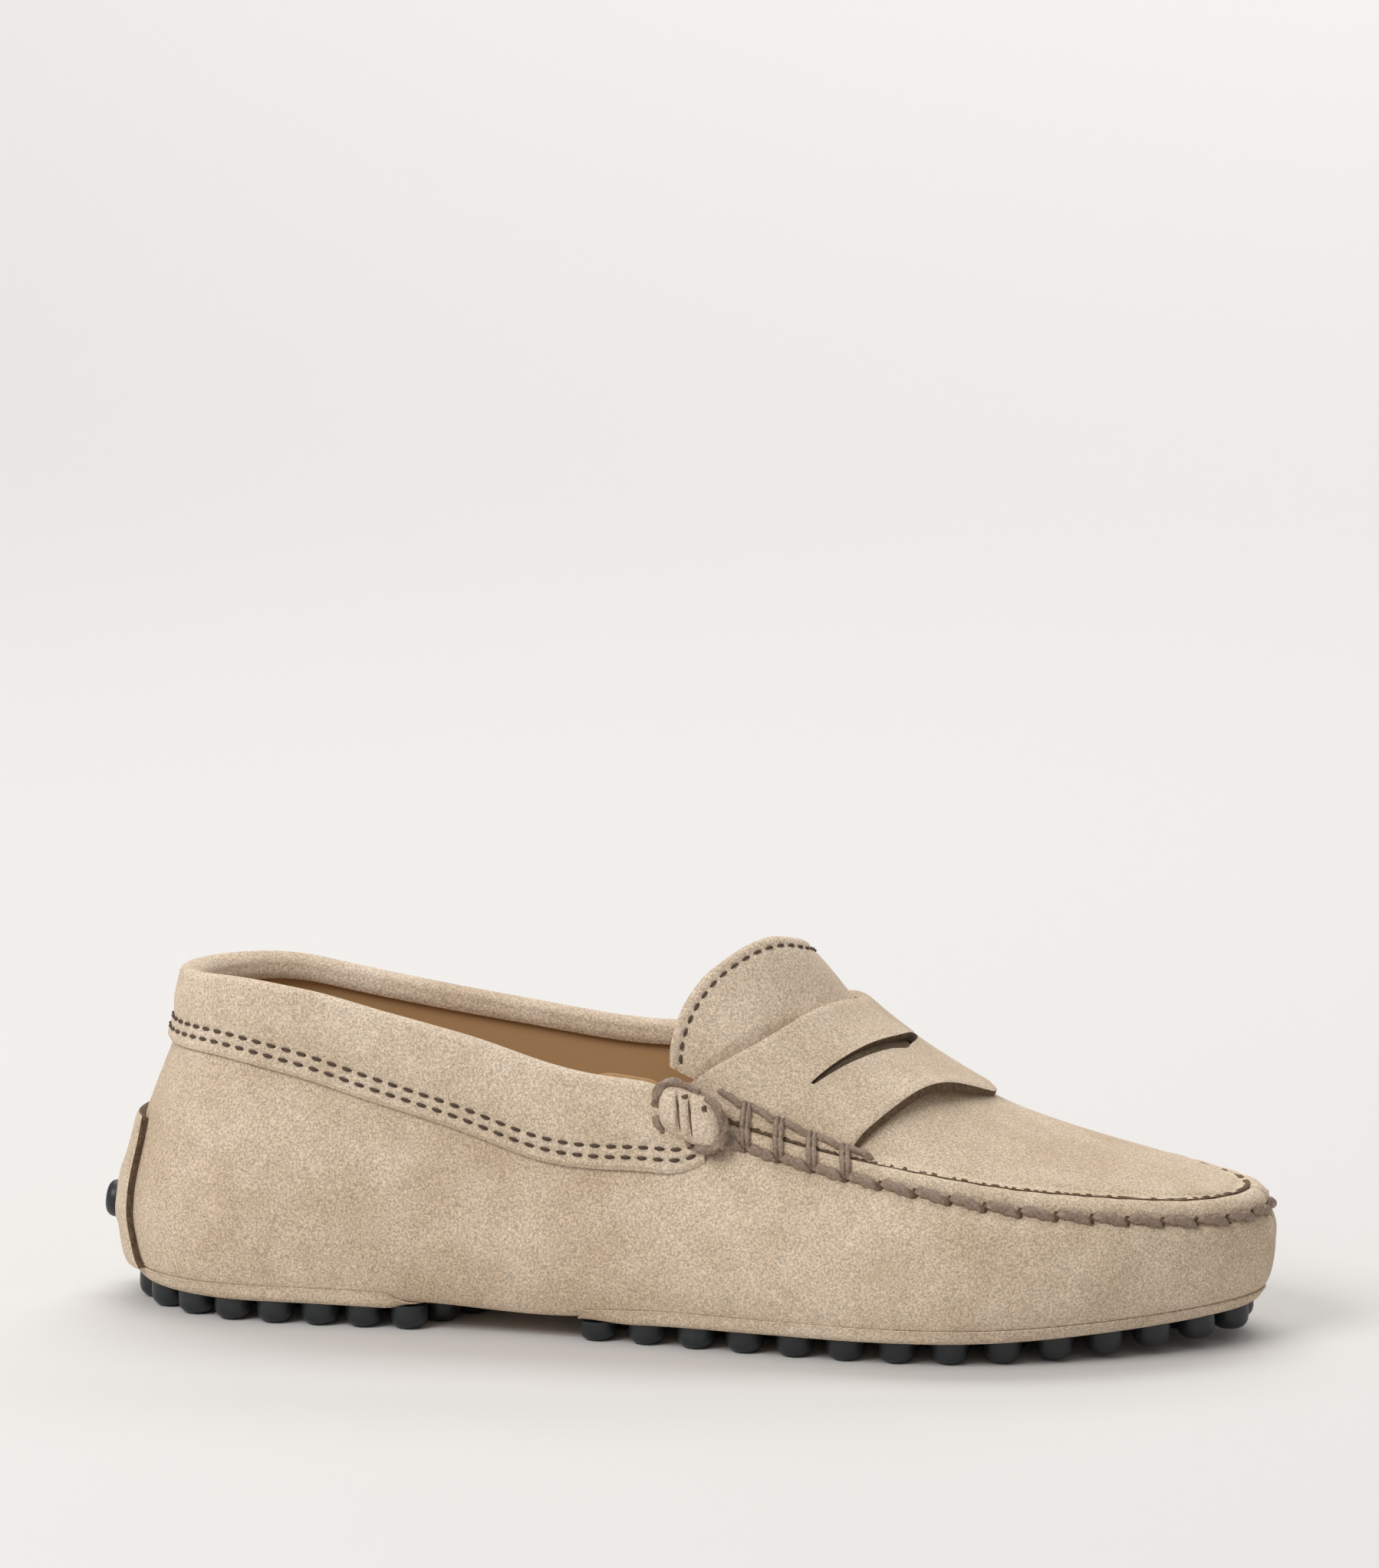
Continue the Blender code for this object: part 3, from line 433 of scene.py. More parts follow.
def rise(at, side):
    return top_line(at, side)[1] - bottom(at) - INSTEP_HEIGHT * SECTIONS("widest", at)


def heel_steps(count):
    return HEEL_ROUND * (1 - np.cos(np.linspace(0, math.pi / 2, count)))


def toe_steps(count):
    return 1 - TOE_ROUND * (1 - np.cos(np.linspace(math.pi / 2, 0, count)))


def stations(heel, middle, toe):
    """Places of sections from heel to toe, closer together where the ends round off."""
    between = np.linspace(HEEL_ROUND, 1 - TOE_ROUND, middle)
    return np.concatenate([heel_steps(heel)[:-1], between, toe_steps(toe)[1:]])


def both_sides(pair, axis=0):
    """Lateral points in reverse, then the medial ones without the place that they share."""
    return np.concatenate([np.flip(pair[0], axis), np.delete(pair[1], 0, axis)], axis)


def run_lengths(points):
    return np.concatenate([[0.0], np.cumsum(np.linalg.norm(np.diff(points, axis=0), axis=1))])


class SeamRun:
    """Distance along the hand-sewn seam, from the lateral throat round the toe to the medial one."""

    def __init__(self):
        self.ats = np.concatenate([np.linspace(STITCH_START, 0.9, 160), toe_steps(120)[60:]])
        self.ats = np.unique(np.clip(self.ats, STITCH_START, 1.0))
        lateral = wall(self.ats, LATERAL, 2.0)
        medial = wall(self.ats, MEDIAL, 2.0)
        self.out = run_lengths(lateral)
        back = run_lengths(medial)
        self.length = self.out[-1] + back[-1]
        self.back = self.length - back

    def distance(self, at, side):
        return np.interp(at, self.ats, self.out if side == LATERAL else self.back)

    def place(self, distance):
        """(at, side) at a distance along the seam."""
        if distance <= self.out[-1]:
            return float(np.interp(distance, self.out, self.ats)), LATERAL
        return float(np.interp(distance, self.back[::-1], self.ats[::-1])), MEDIAL


RUN = SeamRun()
STITCHES = round(RUN.length / 0.0072)
PITCH = RUN.length / STITCHES  # the hand stitches are about 7.2 mm long


def bead_fade(at):
    return np.clip((at - BEAD_START) / (BEAD_FULL - BEAD_START), 0.0, 1.0)


def seam_relief(at, side, depth):
    """How far the ridge and the gathers between the hand stitches stand out of the wall."""
    phase = RUN.distance(at, side) / PITCH
    from_hole = (phase - np.round(phase)) * PITCH
    pinch = bell(from_hole, 0.0010)
    at_thread = bell(depth - THREAD_DEPTH, 0.0011)
    gather = bell(from_hole, 0.0014) * bell(depth - THREAD_DEPTH, 0.0042)
    relief = BEAD * BEAD_PROFILE("out", depth)
    relief = relief - 0.00055 * pinch * at_thread - 0.00030 * gather
    return relief * bead_fade(at)


def crease_relief(at, side, level):
    """Depth of the listed soft creases at places of the body."""
    points = wall(at, side, level)
    total = np.zeros(np.shape(at))
    for crease_side, start, end, depth, width in CREASES:
        if crease_side != side:
            continue
        a, b = wall(start[0], side, start[1]), wall(end[0], side, end[1])
        line = b - a
        t = np.clip(((points - a) @ line) / (line @ line), 0.0, 1.0)
        away = np.linalg.norm(points - a - t[..., None] * line, axis=-1)
        ends = np.sin(math.pi * np.clip(t, 0.04, 0.96))
        total -= depth * ends * (bell(away, width) - 0.35 * bell(away, 2.2 * width))
    return total


def body_point(at, side, depth, lift):
    """A point of the sewn body at a depth under its top line, lifted off the leather."""
    level = 2 - depth / rise(at, side)
    out = outward(at, side, level)
    return wall(at, side, level) + out * (seam_relief(at, side, depth) + lift)[..., None]


def one_point(at, side, depth, lift):
    return body_point(np.array([at]), side, np.array([depth]), np.array([lift]))[0]


def place_of_pieces():
    """The row frame's shift: the middle of the shoe's length and breadth lies over the origin."""
    low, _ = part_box("upper")
    breadth = float(np.abs(wall(np.linspace(0.6, 0.9, 301), LATERAL, 1.0)[:, 1]).max())
    return np.array([low[0], low[1] + breadth, 0.0])


PLACE = place_of_pieces()


def linear(code):
    """Linear colour of an sRGB hex value."""
    channels = [int(code[i : i + 2], 16) / 255 for i in (0, 2, 4)]
    return tuple(c / 12.92 if c <= 0.04045 else ((c + 0.055) / 1.055) ** 2.4 for c in channels)


def colour_setting(name, about, code):
    return FloatVectorProperty(
        name=name, description=about, subtype="COLOR", size=3, min=0, max=1, default=linear(code)
    )


def length_setting(name, about, value):
    return FloatProperty(name=name, description=about, default=value, unit="LENGTH")


class MoccasinColours(bpy.types.PropertyGroup):
    """Colours of the leathers, threads and rubber."""

    suede: colour_setting("Suede", "Nap brushed one way", "dcc9b2")
    suede_dark: colour_setting("Suede, dark", "Nap brushed the other way", "c6b095")
    cut_edge: colour_setting("Cut edge", "Dyed edge of the leather", "64503c")
    lining: colour_setting("Lining", "Smooth leather inside", "a87541")
    hand_thread: colour_setting("Hand thread", "Waxed thread of the raised seam", "8c7867")
    machine_thread: colour_setting("Machine thread", "Thread of the collar and tongue", "4e3c2e")
    white_thread: colour_setting("White thread", "Thread of the collar's binding", "d8cdbd")
    rubber: colour_setting("Rubber", "Moulded studs", "202527")
    paper: colour_setting("Paper", "Floor and backdrop of the studio", "dcdad8")


class MoccasinSizes(bpy.types.PropertyGroup):
    """Sizes of the looks that the solids leave open."""

    thread: length_setting("Hand thread", "Thickness of the hand-sewn thread", 0.0018)
    machine_pitch: length_setting("Machine stitch", "Pitch of the collar's stitches", 0.0035)
    row_gap: length_setting("Row gap", "Between the collar's two rows of stitches", 0.0023)
    row_inset: length_setting("Row inset", "Lower row above the band's edge", 0.0027)
    tongue_pitch: length_setting("Tongue stitch", "Pitch of the tongue's stitches", 0.0030)
    tongue_inset: length_setting("Tongue inset", "Tongue's stitches in from its edge", 0.0024)
    padding: length_setting("Padding", "How far the collar band swells", 0.0007)


def colours():
    return bpy.context.scene.moccasin_colours


def sizes():
    return bpy.context.scene.moccasin_sizes


def add_node(tree, kind, settings=None, links=None):
    """A node with its properties or inputs set and its inputs linked."""
    node = tree.nodes.new(kind)
    for key, value in (settings or {}).items():
        if isinstance(key, str) and hasattr(node, key):
            setattr(node, key, value)
        else:
            node.inputs[key].default_value = value
    for key, source in (links or {}).items():
        tree.links.new(source, node.inputs[key])
    return node


def start_material(name):
    made = bpy.data.materials.new(name)
    made.use_nodes = True
    tree = made.node_tree
    shader = tree.nodes["Principled BSDF"]
    place = add_node(tree, "ShaderNodeTexCoord").outputs["Object"]
    return made, tree, shader, place


def noise(tree, place, scale, detail, rough=0.5):
    values = {"Scale": scale, "Detail": detail, "Roughness": rough}
    return add_node(tree, "ShaderNodeTexNoise", values, {"Vector": place}).outputs["Fac"]


def spread(tree, value, low, high, bottom, top):
    """A value between low and high, spread from bottom to top."""
    ends = {"From Min": low, "From Max": high, "To Min": bottom, "To Max": top}
    return add_node(tree, "ShaderNodeMapRange", ends, {"Value": value}).outputs[0]


def shaded(tree, tint, shade):
    scale = {"operation": "SCALE", 0: tint}
    return add_node(tree, "ShaderNodeVectorMath", scale, {"Scale": shade}).outputs[0]


def bump(tree, height, strength, distance, **under):
    values = {"Strength": strength, "Distance": distance}
    return add_node(tree, "ShaderNodeBump", values, {"Height": height, **under}).outputs[0]


def finish_shader(tree, shader, colour, normal, **values):
    """Links the colour and the relief, and sets the sockets that stay constant."""
    tree.links.new(colour, shader.inputs["Base Color"])
    tree.links.new(normal, shader.inputs["Normal"])
    for socket, value in values.items():
        shader.inputs[socket.replace("_", " ")].default_value = value


def suede_material(name, light, dark, patch):
    """Brushed calf suede: no gloss, a soft sheen off the nap, patches where it lies another way."""
    made, tree, shader, place = start_material(name)
    # The patches are 20 to 60 mm across, and the nap is drawn at 0.45 mm, coarser than its real fibres.
    patches = noise(tree, place, 30.0, 3.0, 0.55)
    clouds = noise(tree, place, 120.0, 4.0, 0.6)
    grain = noise(tree, place, 2050.0, 3.0, 0.8)
    fibre = noise(tree, place, 3400.0, 2.0, 0.6)
    broad = spread(tree, patches, 0.36, 0.64, 0.5 - patch, 0.5 + patch)
    cloudy = spread(tree, clouds, 0.35, 0.65, -0.14, 0.14)
    speck = spread(tree, grain, 0.36, 0.64, 1 - NAP_CONTRAST, 1 + NAP_CONTRAST)
    both = add_node(tree, "ShaderNodeMath", {"operation": "ADD", "use_clamp": True}, {0: broad, 1: cloudy})
    ends = {"data_type": "RGBA", 6: (*dark, 1), 7: (*light, 1)}
    colour = add_node(tree, "ShaderNodeMix", ends, {0: both.outputs[0]})
    flecked = add_node(
        tree, "ShaderNodeVectorMath", {"operation": "SCALE"}, {0: colour.outputs[2], "Scale": speck}
    )
    coarse = bump(tree, grain, 0.7, 0.00035)
    fine = bump(tree, fibre, 0.5, 0.00015, Normal=coarse)
    finish_shader(
        tree, shader, flecked.outputs[0], fine, Roughness=0.95, Sheen_Weight=0.25, Sheen_Roughness=0.6
    )
    shader.inputs["Specular IOR Level"].default_value = 0.15
    shader.inputs["Sheen Tint"].default_value = (*linear("efe0cc"), 1)
    return made


def leather_material(name, tint):
    """Smooth drum-dyed lining leather: a satin face with fine pores and a slight mottle."""
    made, tree, shader, place = start_material(name)
    shade = spread(tree, noise(tree, place, 55.0, 4.0), 0.3, 0.7, 0.86, 1.1)
    pores = add_node(tree, "ShaderNodeTexVoronoi", {"Scale": 1400.0}, {"Vector": place})
    relief = bump(tree, pores.outputs["Distance"], 0.25, 0.0001)
    finish_shader(tree, shader, shaded(tree, tint, shade), relief, Roughness=0.42)
    return made


def edge_material(name, tint):
    """Dyed cut edge of the leather: dull, with loose fibres that break the colour up."""
    made, tree, shader, place = start_material(name)
    fibres = noise(tree, place, 1100.0, 3.0)
    shade = spread(tree, fibres, 0.3, 0.7, 0.55, 1.45)
    finish_shader(tree, shader, shaded(tree, tint, shade), bump(tree, fibres, 0.6, 0.0002), Roughness=0.9)
    return made


def thread_material(name, tint, rough):
    """Waxed linen thread: a dull shine on fine twisted fibres."""
    made, tree, shader, place = start_material(name)
    fibres = noise(tree, place, 1700.0, 2.0)
    shade = spread(tree, fibres, 0.3, 0.7, 0.7, 1.35)
    finish_shader(tree, shader, shaded(tree, tint, shade), bump(tree, fibres, 0.5, 0.0001), Roughness=rough)
    return made


def rubber_material(name, tint):
    """Moulded rubber with a spark-eroded satin face."""
    made, tree, shader, place = start_material(name)
    shade = spread(tree, noise(tree, place, 160.0, 3.0), 0.3, 0.7, 0.8, 1.35)
    grit = bump(tree, noise(tree, place, 1300.0, 2.0), 0.15, 0.0001)
    finish_shader(tree, shader, shaded(tree, tint, shade), grit, Roughness=0.42)
    shader.inputs["Specular IOR Level"].default_value = 0.5
    return made


def painted_top_light(tint):
    """The same suede painted paler: painted light from above on the pieces that face up."""
    return [1.04 * tint[0], 1.05 * tint[1], 1.08 * tint[2]]


def finish(name):
    """The named finish, made once."""
    if name in bpy.data.materials:
        return bpy.data.materials[name]
    tint = colours()
    if name in SUEDE_PATCHES:
        tints = (tint.suede, tint.suede_dark)
        # Painted light: the collar and strap finishes are painted paler for the light that falls on them
        # from above.
        if name in TOP_LIT_SUEDES:
            tints = (painted_top_light(tint.suede), painted_top_light(tint.suede_dark))
        return suede_material(name, *tints, SUEDE_PATCHES[name])
    makers = {
        "dyed_edge": lambda: edge_material(name, tint.cut_edge),
        "lining_leather": lambda: leather_material(name, tint.lining),
        "waxed_hand_thread": lambda: thread_material(name, tint.hand_thread, 0.5),
        "brown_machine_thread": lambda: thread_material(name, tint.machine_thread, 0.7),
        "white_lining_thread": lambda: thread_material(name, tint.white_thread, 0.7),
        "moulded_rubber": lambda: rubber_material(name, tint.rubber),
    }
    return makers[name]()


def add_mesh(name, points, faces, finishes, marks=None, slot="suede", stands_for=(), sharp=35):
    """A piece of the shoe: a mesh in the row frame that rides with it."""
    mesh = bpy.data.meshes.new(name)
    mesh.from_pydata((np.asarray(points, float) + PLACE).tolist(), [], [list(map(int, f)) for f in faces])
    for each in finishes:
        mesh.materials.append(finish(each))
    if marks is not None:
        mesh.polygons.foreach_set("material_index", np.asarray(marks, dtype=np.int32))
    cage = bmesh.new()
    cage.from_mesh(mesh)
    bmesh.ops.remove_doubles(cage, verts=cage.verts, dist=1e-6)
    bmesh.ops.recalc_face_normals(cage, faces=cage.faces)
    cage.to_mesh(mesh)
    cage.free()
    mesh.shade_smooth()
    mesh.set_sharp_from_angle(angle=math.radians(sharp))
    made = bpy.data.objects.new(name, mesh)
    bpy.context.scene.collection.objects.link(made)
    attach(made, "root")
    if stands_for:
        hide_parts(*stands_for)
    return made


def cells(rows, columns, closed=False, holes=()):
    """Faces of a grid of points listed row by row, with the last column joined to the first if closed."""
    wide = columns if closed else columns - 1
    faces = []
    for r in range(rows - 1):
        for c in range(wide):
            here, after = r * columns + c, r * columns + (c + 1) % columns
            if (r, c) not in holes:
                faces.append((here, here + columns, after + columns, after))
    return faces


def sheet_solid(name, outer, inner, finishes, holes=(), rim_mark=0, plain_row=None, inner_mark=0, **facts):
    """A closed sheet between two grids of the same size, with its rim in the finish of rim_mark."""
    rows, columns = outer.shape[:2]
    faces = cells(rows, columns, holes=holes)
    count = rows * columns
    edges = set()
    for face in faces:
        for a, b in zip(face, face[1:] + face[:1]):
            edges.add((a, b))
    rim = [(a, b) for a, b in edges if (b, a) not in edges]
    solid = list(faces) + [tuple(count + i for i in reversed(face)) for face in faces]
    marks = [0] * len(faces) + [inner_mark] * len(faces)
    for a, b in sorted(rim):
        solid.append((b, a, count + a, count + b))
        marks.append(0 if a // columns == b // columns == plain_row else rim_mark)
    points = np.concatenate([outer.reshape(-1, 3), inner.reshape(-1, 3)])
    return add_mesh(name, points, solid, finishes, marks, **facts)


def frames(path):
    """Tangent, side and up vectors along a path, without sudden turns."""
    tangents = unit(np.gradient(path, axis=0))
    up = np.array([0.0, 0.0, 1.0])
    if abs(tangents[0] @ up) > 0.9:
        up = np.array([0.0, 1.0, 0.0])
    ups = []
    for t in tangents:
        up = unit(up - (up @ t) * t)
        ups.append(up)
    ups = np.array(ups)
    return tangents, np.cross(tangents, ups), ups


def cord_mesh(path, radii, sides=10, plies=0, twist=0.0, ply_depth=0.16):
    """(points, faces) of a round or plied thread along a path, closed at both ends."""
    path, radii = np.asarray(path, float), np.broadcast_to(radii, len(path))
    _, side, up = frames(path)
    runs = run_lengths(path)
    turn = np.linspace(0, 2 * math.pi, sides, endpoint=False)
    lobes = 1 + (ply_depth * np.cos(plies * (turn[None] + twist * runs[:, None])) if plies else 0)
    r = radii[:, None] * lobes * np.ones((len(path), sides))
    rings = path[:, None] + r[..., None] * (
        np.cos(turn)[None, :, None] * side[:, None] + np.sin(turn)[None, :, None] * up[:, None]
    )
    faces = cells(len(path), sides, closed=True)
    faces.append(tuple(range(sides)))
    faces.append(tuple(range((len(path) - 1) * sides, len(path) * sides))[::-1])
    return rings.reshape(-1, 3), faces


def add_joined(name, parts, finishes, **facts):
    """One object from several closed meshes."""
    points, faces, start = [], [], 0
    for part_points, part_faces in parts:
        points.append(part_points)
        faces += [tuple(start + i for i in face) for face in part_faces]
        start += len(part_points)
    return add_mesh(name, np.concatenate(points), faces, finishes, **facts)


def add_threads(name, parts, material="waxed_hand_thread"):
    add_joined(name, parts, [material], slot="waxed_thread")


def between(path, start, end, count):
    """Points of a path between two distances along it."""
    runs = run_lengths(path)
    wanted = np.linspace(start, end, count)
    return np.stack([np.interp(wanted, runs, path[:, i]) for i in range(3)], axis=1)


def machine_row(path, ups, pitch, radius):
    """Short sunk stitches along a path on the leather, which ups points away from."""
    runs = run_lengths(path)
    count = max(1, round(runs[-1] / pitch))
    step = runs[-1] / count
    parts = []
    for i in range(count):
        start, end = (i + 0.5 - STITCH_FILL / 2) * step, (i + 0.5 + STITCH_FILL / 2) * step
        line = between(path, start, end, 7)
        up = np.stack([np.interp(np.linspace(start, end, 7), runs, ups[:, k]) for k in range(3)], axis=1)
        arch = np.sin(np.linspace(0, math.pi, 7))
        line = line + up * (radius * (arch - 0.75))[:, None]
        parts.append(cord_mesh(line, radius * (0.45 + 0.55 * arch**0.5), sides=6))
    return parts


class MOCCASIN_OT_body(bpy.types.Operator):
    """Suede body wrapped under the foot, with the ridge and gathers of its hand-sewn seam"""

    bl_idname = "moccasin.body"
    bl_label = "Body"

    def execute(self, context):
        ats = stations(18, 150, 130)
        ats = np.unique(np.concatenate([ats, np.linspace(BEAD_START - 0.01, 1 - TOE_ROUND, 140)]))
        depths = np.array(SEAM_DEPTHS) / 1000
        sides = []
        for side in (LATERAL, MEDIAL):
            low = np.linspace(-1.0, 0.0, 7)[:-1]
            belly = np.linspace(0.0, 1.0, 13)[:-1]
            start = 2 - depths[0] / rise(ats, side)
            above = 1 + (start[:, None] - 1) * np.linspace(0, 1, 22)[None, :-1]
            fixed = np.broadcast_to(np.concatenate([low, belly]), (len(ats), len(low) + len(belly)))
            bead = 2 - depths[None] / rise(ats, side)[:, None]
            levels = np.concatenate([fixed, above, bead], axis=1)
            at = np.broadcast_to(ats[:, None], levels.shape)
            depth = (2 - levels) * rise(ats, side)[:, None]
            points, out = wall(at, side, levels), outward(at, side, levels)
            relief = np.where(levels > 1, seam_relief(at, side, depth), 0.0)
            relief = relief + crease_relief(at, side, levels)
            skin = points + out * relief[..., None]
            inner = points - out * SUEDE
            # The lip turns over into the seam.
            top, n = skin[:, -1], out[:, -1]
            fade = bead_fade(ats)[:, None]
            drop = np.array([0.0, 0.0, -1.0])
            lips = [
                top - n * inward * fade + drop * down * fade
                for inward, down in ((0.0004, 0.0003), (0.0007, 0.0012))
            ]
            skin = np.concatenate([skin, np.stack(lips, axis=1)], axis=1)
            inner = np.concatenate([inner, np.repeat((lips[1] - n * 0.0002)[:, None], 2, axis=1)], axis=1)
            behind = (ats < BEAD_START)[:, None]
            for row in (-1, -2):
                inner[:, row] = np.where(behind, (points - out * SUEDE)[:, -1], inner[:, row])
            sides.append((skin, inner, points - out * (WALL - LINING), points - out * WALL))
        skin, inner, face, back = [both_sides(pair, 1) for pair in zip(*sides)]
        sheet_solid("body", skin, inner, ["body_suede"], stands_for=["upper"])
        sheet_solid("lining", face, back, ["lining_leather"], slot="lining_leather")
        return {"FINISHED"}


def plug_point(at, across, lift):
    return crown(at, across) + crown_normal(at, across) * np.asarray(lift)[..., None]


def edge_distance(at, across):
    """Distance on the plug from its nearer seam."""
    side = np.where(across < 0, top_line(at, LATERAL)[0], top_line(at, MEDIAL)[0])
    return (1 - np.abs(across)) * side * np.maximum(0.05, end_rounding(at)) * 1.15


class MOCCASIN_OT_apron(bpy.types.Operator):
    """Suede plug over the toes, set into the seam with a dyed cut edge"""

    bl_idname = "moccasin.apron"
    bl_label = "Plug"

    def execute(self, context):
        margin = -1 + (1 - np.cos(np.linspace(0, math.pi / 2, 60))) * 0.5
        places = np.concatenate([margin, np.linspace(-0.5, 0.5, 41)[1:-1], -margin[::-1]])
        ats = np.unique(np.concatenate([np.linspace(THROAT, 1 - TOE_ROUND, 90), toe_steps(70)]))
        at, place = np.meshgrid(ats, places, indexing="ij")
        ease = (1 - at) / (1 - THROAT)
        at = at + (plug_rear(place) - THROAT) * ease
        across = across_at(place)
        away = np.minimum(edge_distance(at, across), (1 - at) * LENGTH * 1.2)
        rolled = np.clip((0.690 - at) / 0.02, 0.0, 1.0)
        lift = (1 - rolled) * (0.0006 * bell(away, 0.0016) - 0.0003 * bell(away - 0.0030, 0.0014))
        lift = lift + rolled * (0.0012 * bell(away - 0.0011, 0.0010) - 0.0003)
        outer = plug_point(at, across, lift)
        inner = plug_point(at, across, lift - SUEDE)
        sheet_solid("plug", outer, inner, ["apron_suede", "dyed_edge"], rim_mark=1)
        edge = []
        for side in (LATERAL, MEDIAL):
            line_ats = np.unique(np.concatenate([np.linspace(BEAD_START, 0.9, 150), toe_steps(60)[30:]]))
            top = body_point(line_ats, side, np.zeros_like(line_ats), 0.0)
            n = outward(line_ats, side, 2.0)
            edge.append(top - n * 0.0001 + spot(0, 0, 0.00048 + 0.00014 * np.sin(line_ats * 700)))
        path = np.concatenate([edge[0], edge[1][::-1][1:]])
        wave = 1 + 0.30 * np.sin(np.arange(len(path)) * 1.7) * np.sin(np.arange(len(path)) * 0.61)
        points, faces = cord_mesh(path, 0.00062 * wave, sides=8)
        add_mesh("plug_edge", points, faces, ["dyed_edge"])
        return {"FINISHED"}


class MOCCASIN_OT_hand_seam(bpy.types.Operator):
    """Waxed hand stitches along the raised seam, and the cross bars behind the strap"""

    bl_idname = "moccasin.hand_seam"
    bl_label = "Hand-sewn seam"

    def execute(self, context):
        radius = sizes().thread / 2
        stitches, bars, uppers = [], [], []
        for i in range(STITCHES):
            share = np.linspace(0, 1, 15)
            arch = np.sin(math.pi * share)
            line = []
            for t, s in zip(share, arch):
                at, side = RUN.place((i + 0.06 + 0.88 * t) * PITCH)
                depth = THREAD_DEPTH + 0.0011 * (t - 0.5)
                line.append(one_point(at, side, depth, radius * (0.9 * s**0.6 - 0.25)))
            stitches.append(cord_mesh(line, radius * (0.72 + 0.52 * arch**0.6), 14, 3, 620.0, 0.26))
        add_threads("hand_stitches", stitches)
        # Dark pegs at each hole of the hand stitches: painted shade in the holes, in the dyed-edge colour.
        hole_shades = []
        for i in range(STITCHES + 1):
            at, side = RUN.place(min(i * PITCH, RUN.length))
            ends = [
                one_point(at, side, THREAD_DEPTH + below, lift)
                for below, lift in ((0.0006, 0.0), (0.0, 0.0002), (-0.0008, 0.0001))
            ]
            hole_shades.append(cord_mesh(ends, [0.0003, 0.00062, 0.0003], 8))
        add_joined("awl_hole_shade", hole_shades, ["dyed_edge"], slot="suede")
        for side in (LATERAL, MEDIAL):
            holes = [RUN.place(min(i * PITCH, RUN.length)) for i in range(STITCHES + 1)]
            holes = sorted(at for at, at_side in holes if at_side == side and at < BARS_END)
            for at in holes[1:]:
                for shift in (-0.00058, 0.00058):
                    place = at + shift / LENGTH
                    low = [one_point(place, side, d, 0.0005) for d in np.linspace(THREAD_DEPTH, 0.0005, 9)]
                    inward = np.linspace(0.0004, float(upper_thread(at)) + 0.0004, 5)
                    across = side * (1 - inward / top_line(place, side)[0])
                    high = plug_point(np.full(5, place), across, np.full(5, 0.00105))
                    path = np.concatenate([low, high])
                    bars.append(cord_mesh(path, BAR_RADIUS, plies=2, twist=900.0, ply_depth=0.12))
            for start, end in zip(holes, holes[1:] + [holes[-1] + 0.026]):
                share = np.linspace(0, 1, 11)
                arch = np.sin(math.pi * share)
                ats = start + (0.04 + 0.92 * share) * (end - start)
                across = side * (1 - (upper_thread(ats) + 0.0006 * (0.5 - share)) / top_line(ats, side)[0])
                line = plug_point(ats, across, 0.0005 + radius * 0.8 * np.maximum(0.0, arch) ** 0.7)
                swell = radius * 0.85 * (0.6 + 0.4 * np.maximum(0.0, arch) ** 0.6)
                uppers.append(cord_mesh(line, swell, 12, 3, 520.0, 0.20))
        add_threads("cross_bars", bars)
        add_threads("upper_stitches", uppers)
        return {"FINISHED"}


ROLL_FOLDS = ((0.34, 0.0010), (0.52, 0.0008))  # folds across the rolled end: share along it and depth
# Threads on the rolled end, as (share along it, turn over it)
LOOPS = (
    ((0.12, 0.25), (0.01, 0.8), (0.00, 1.6), (0.06, 2.3), (0.24, 2.8), (0.46, 2.95), (0.62, 2.9)),
    ((0.58, 0.30), (0.84, 0.55), (0.96, 1.1), (0.98, 1.7), (0.90, 2.3), (0.72, 2.6)),
    ((0.06, 0.30), (0.22, 0.08), (0.50, 0.02), (0.78, 0.08), (0.96, 0.20)),
)


def upper_thread(at):
    """How far in from the seam the upper stitches lie on the plug."""
    return np.clip(0.0023 - (np.asarray(at) - 0.55) * 0.010, 0.0010, 0.0026)


def seam_end_surface(side, share, turn):
    """A point of the rolled end of the seam: share along it, turn over it from 0 to pi."""
    start, end = SEAM_END
    at = start + (end - start) * share
    swell = np.sqrt(np.maximum(0.0, 1 - np.abs(2 * share - 1) ** 5)) * 0.86 + 0.14
    top = wall(at, side, 2.0)
    high = level_at(at, side, top[..., 2] - 0.0006)
    low = level_at(at, side, top[..., 2] - 0.0010 - SEAM_END_DROP * (0.55 + 0.45 * swell))
    level = low + (high - low) * (1 - np.cos(turn)) / 2
    height = GAP + SEAM_END_HEIGHT * swell * np.maximum(0.0, np.sin(turn)) ** 0.8
    for middle, depth in ROLL_FOLDS:
        height = height - depth * bell(share - middle, 0.035) * np.sin(turn) ** 2
    up = SEAM_END_RISE * swell * (1 - np.cos(turn)) / 2
    return wall(at, side, level) + outward(at, side, level) * height[..., None] + spot(0, 0, up)


